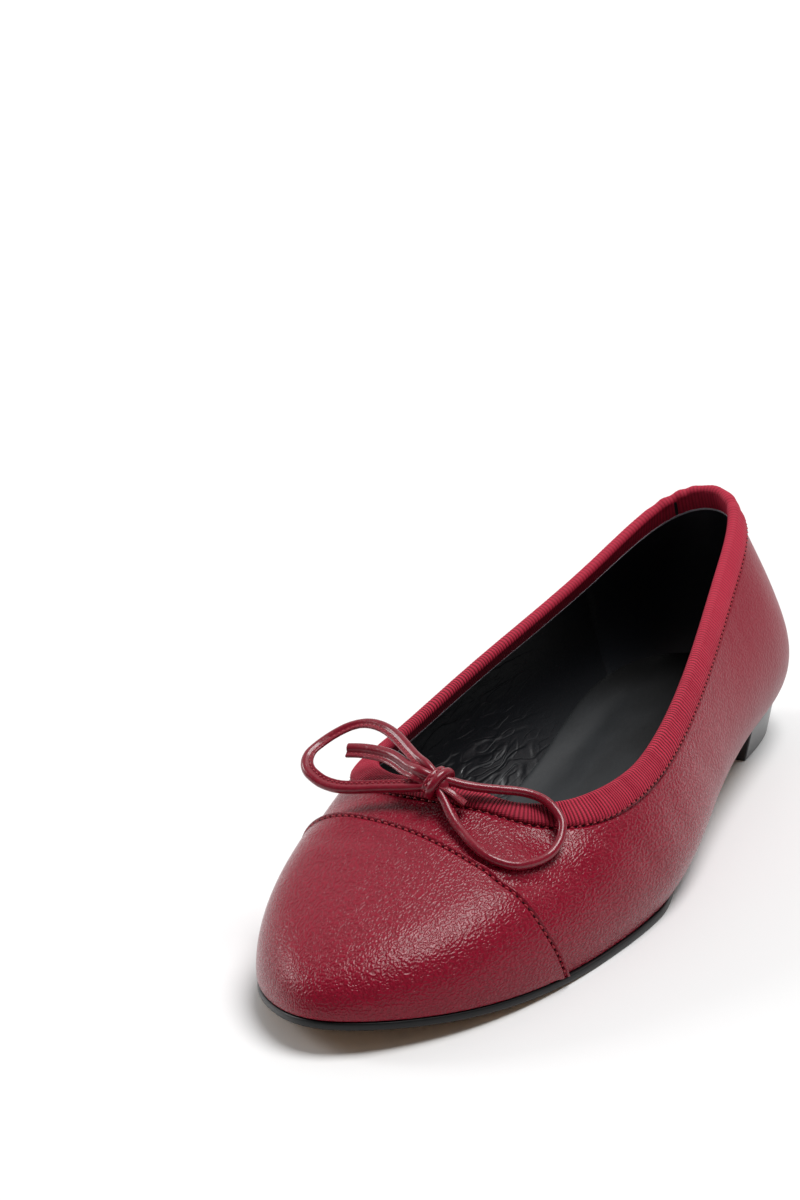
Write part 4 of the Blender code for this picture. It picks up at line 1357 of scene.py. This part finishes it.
def make_bow(look):
    """Two loops and two ends of folded string, wound round in a knot at the throat."""
    string = look.string
    leather = string_leather(string)
    medial = [
        (LOOP_MEDIAL, MEDIAL_TURNS, (-0.006, -0.022, 0.002), 1.0),
        (TAIL_MEDIAL, [0] * len(TAIL_MEDIAL), (0.012, -0.020, -0.010), 1.2),
    ]
    lateral = [
        (LOOP_LATERAL, LATERAL_TURNS, (0.002, 0.018, -0.009), 1.0),
        (TAIL_LATERAL, [0] * len(TAIL_LATERAL), (0.010, 0.008, 0.0), 1.0),
    ]
    wrap = [(knot_wrap(), [-90] * KNOT_POINTS, (0.0, 0.0, 0.0), 1.0)]
    knot, knot_rows = string_piece("knot_turns", string, wrap, leather)
    left, left_rows = string_piece("bow_medial", string, medial, leather)
    right, right_rows = string_piece("bow_lateral", string, lateral, leather)
    core = knot_core(leather)
    dress(knot, "string", "bow_knot")
    dress(left, "string", "bow_loop_medial", "bow_tail_medial")
    dress(right, "string", "bow_loop_lateral", "bow_tail_lateral")
    for item in (knot_rows, left_rows, right_rows, core):
        dress(item, "string")
    halves = (left, LOOP_MEDIAL, TAIL_MEDIAL, left_rows), (right, LOOP_LATERAL, TAIL_LATERAL, right_rows)
    for item, loop, tail, rows in halves:
        path = np.vstack([smooth_route(loop, 0.002), smooth_route(tail, 0.002)]) + np.array(KNOT_MIDDLE)


def knot_core(finish):
    """The bundle inside the knot, squeezed from a sphere."""
    deselect()
    bpy.ops.mesh.primitive_uv_sphere_add(segments=32, ring_count=20, radius=0.5)
    item = bpy.context.active_object
    item.name = "knot_core"
    item.data.name = "knot_core"
    length, depth = knot_ways()
    turn = Matrix((length, BOW_AXIS, depth)).transposed().to_4x4()
    item.data.transform(Matrix.Translation(KNOT_MIDDLE) @ turn @ Matrix.Diagonal((*KNOT_CORE, 1.0)))
    item.data.shade_smooth()
    item.data.materials.append(finish)
    return item


# ------------------------------------------------------------------ studio


def make_stage(look):
    """Pale floor, soft lights and the photo's camera."""
    studio = look.studio
    deselect()
    bpy.ops.mesh.primitive_plane_add(size=FLOOR_SIZE, location=(0, 0, 0))
    floor = bpy.context.active_object
    floor.name = "studio_floor"
    floor.data.materials.append(floor_finish(studio))
    room = bpy.data.worlds.new("studio")
    bpy.context.scene.world = room
    room.use_nodes = True
    tree = room.node_tree
    start = Signal(tree)
    way = start.node("ShaderNodeTexCoord", output=0)
    up, along, across = way.part(2), way.part(0), way.part(1)
    behind = (along * -0.85 + across * -0.50 + up * 0.12).spread(-0.05, 0.65)
    light = 0.12 + behind * 0.55
    sky = tree.nodes["Background"]
    tree.links.new((light * studio.sky).socket, sky.inputs["Strength"])
    sky.inputs["Color"].default_value = (1.0, 1.0, 1.0, 1.0)
    for (name, way, spread), power in zip(LAMPS, (studio.key, studio.fill)):
        lamp = bpy.data.lights.new(name, "SUN")
        lamp.energy, lamp.angle = power, radians(spread)
        item = bpy.data.objects.new(name, lamp)
        item.location = Vector(way) * 2
        item.rotation_mode = "QUATERNION"
        item.rotation_quaternion = Vector(way).to_track_quat("Z", "Y")
        bpy.context.scene.collection.objects.link(item)
    camera = bpy.data.cameras.new("photo_camera")
    camera.lens, camera.sensor_width = studio.lens, 36.0
    camera.clip_start, camera.clip_end = 0.05, 30.0
    item = bpy.data.objects.new("photo_camera", camera)
    item.matrix_world = camera_place()
    bpy.context.scene.collection.objects.link(item)
    bpy.context.scene.camera = item
    bpy.context.scene.view_settings.view_transform = "Standard"


def camera_place():
    """The photo's viewing angle, with its slight roll."""
    turn, rise, roll = CAMERA_TURN, CAMERA_RISE, CAMERA_ROLL
    back = Vector((sin(turn) * cos(rise), -cos(turn) * cos(rise), sin(rise)))
    right = Vector((0, 0, 1)).cross(back).normalized()
    up = back.cross(right)
    right, up = right * cos(roll) + up * sin(roll), up * cos(roll) - right * sin(roll)
    place = Matrix((right, up, back)).transposed().to_4x4()
    place.translation = CAMERA_PLACE
    return place


# ------------------------------------------------------------------ add-on


class BALLETFLAT_OT_stage(bpy.types.Operator):
    """Floor, lights and camera."""

    bl_idname = "ballet_flat.stage"
    bl_label = "Stage"

    def execute(self, context):
        make_stage(context.scene.ballet_flat)
        return {"FINISHED"}


class BALLETFLAT_OT_upper(bpy.types.Operator):
    """Outer leather of vamp and quarters."""

    bl_idname = "ballet_flat.upper"
    bl_label = "Upper"

    def execute(self, context):
        make_upper(context.scene.ballet_flat)
        return {"FINISHED"}


class BALLETFLAT_OT_lining(bpy.types.Operator):
    """Lining, heel grip and cut edge."""

    bl_idname = "ballet_flat.lining"
    bl_label = "Lining"

    def execute(self, context):
        make_lining(context.scene.ballet_flat)
        return {"FINISHED"}


class BALLETFLAT_OT_toe_cap(bpy.types.Operator):
    """Toe cap and its stitches."""

    bl_idname = "ballet_flat.toe_cap"
    bl_label = "Toe Cap"

    def execute(self, context):
        make_toe_cap(context.scene.ballet_flat)
        return {"FINISHED"}


class BALLETFLAT_OT_binding(bpy.types.Operator):
    """Ribbed binding and its stitches."""

    bl_idname = "ballet_flat.binding"
    bl_label = "Binding"

    def execute(self, context):
        make_binding(context.scene.ballet_flat)
        return {"FINISHED"}


class BALLETFLAT_OT_insole(bpy.types.Operator):
    """Insole."""

    bl_idname = "ballet_flat.insole"
    bl_label = "Insole"

    def execute(self, context):
        make_insole(context.scene.ballet_flat)
        return {"FINISHED"}


class BALLETFLAT_OT_sole(bpy.types.Operator):
    """Outsole and heel."""

    bl_idname = "ballet_flat.sole"
    bl_label = "Sole and Heel"

    def execute(self, context):
        make_outsole(context.scene.ballet_flat)
        make_heel(context.scene.ballet_flat)
        return {"FINISHED"}


class BALLETFLAT_OT_bow(bpy.types.Operator):
    """String bow."""

    bl_idname = "ballet_flat.bow"
    bl_label = "Bow"

    def execute(self, context):
        make_bow(context.scene.ballet_flat)
        return {"FINISHED"}


class BALLETFLAT_PT_pieces(bpy.types.Panel):
    """Lists the pieces of the ballet flat."""

    bl_idname = "BALLETFLAT_PT_pieces"
    bl_label = "Ballet Flat"
    bl_space_type = "VIEW_3D"
    bl_region_type = "UI"
    bl_category = "Ballet Flat"

    def draw(self, context):
        for step in STEPS:
            self.layout.operator(step.bl_idname)


LOOKS = (StudioLook, LeatherLook, RibbonLook, InsideLook, SoleLook, StringLook, BalletFlatLook)
STEPS = (
    BALLETFLAT_OT_stage, BALLETFLAT_OT_upper, BALLETFLAT_OT_lining, BALLETFLAT_OT_toe_cap,
    BALLETFLAT_OT_binding, BALLETFLAT_OT_insole, BALLETFLAT_OT_sole, BALLETFLAT_OT_bow,
)


def register():
    for item in LOOKS + STEPS + (BALLETFLAT_PT_pieces,):
        bpy.utils.register_class(item)
    bpy.types.Scene.ballet_flat = PointerProperty(type=BalletFlatLook)


def unregister():
    del bpy.types.Scene.ballet_flat
    for item in reversed(LOOKS + STEPS + (BALLETFLAT_PT_pieces,)):
        bpy.utils.unregister_class(item)


def main():
    register()
    bpy.ops.ballet_flat.stage()
    bpy.ops.ballet_flat.upper()
    bpy.ops.ballet_flat.lining()
    bpy.ops.ballet_flat.toe_cap()
    bpy.ops.ballet_flat.binding()
    bpy.ops.ballet_flat.insole()
    bpy.ops.ballet_flat.sole()
    bpy.ops.ballet_flat.bow()


if __name__ == "__main__":
    main()
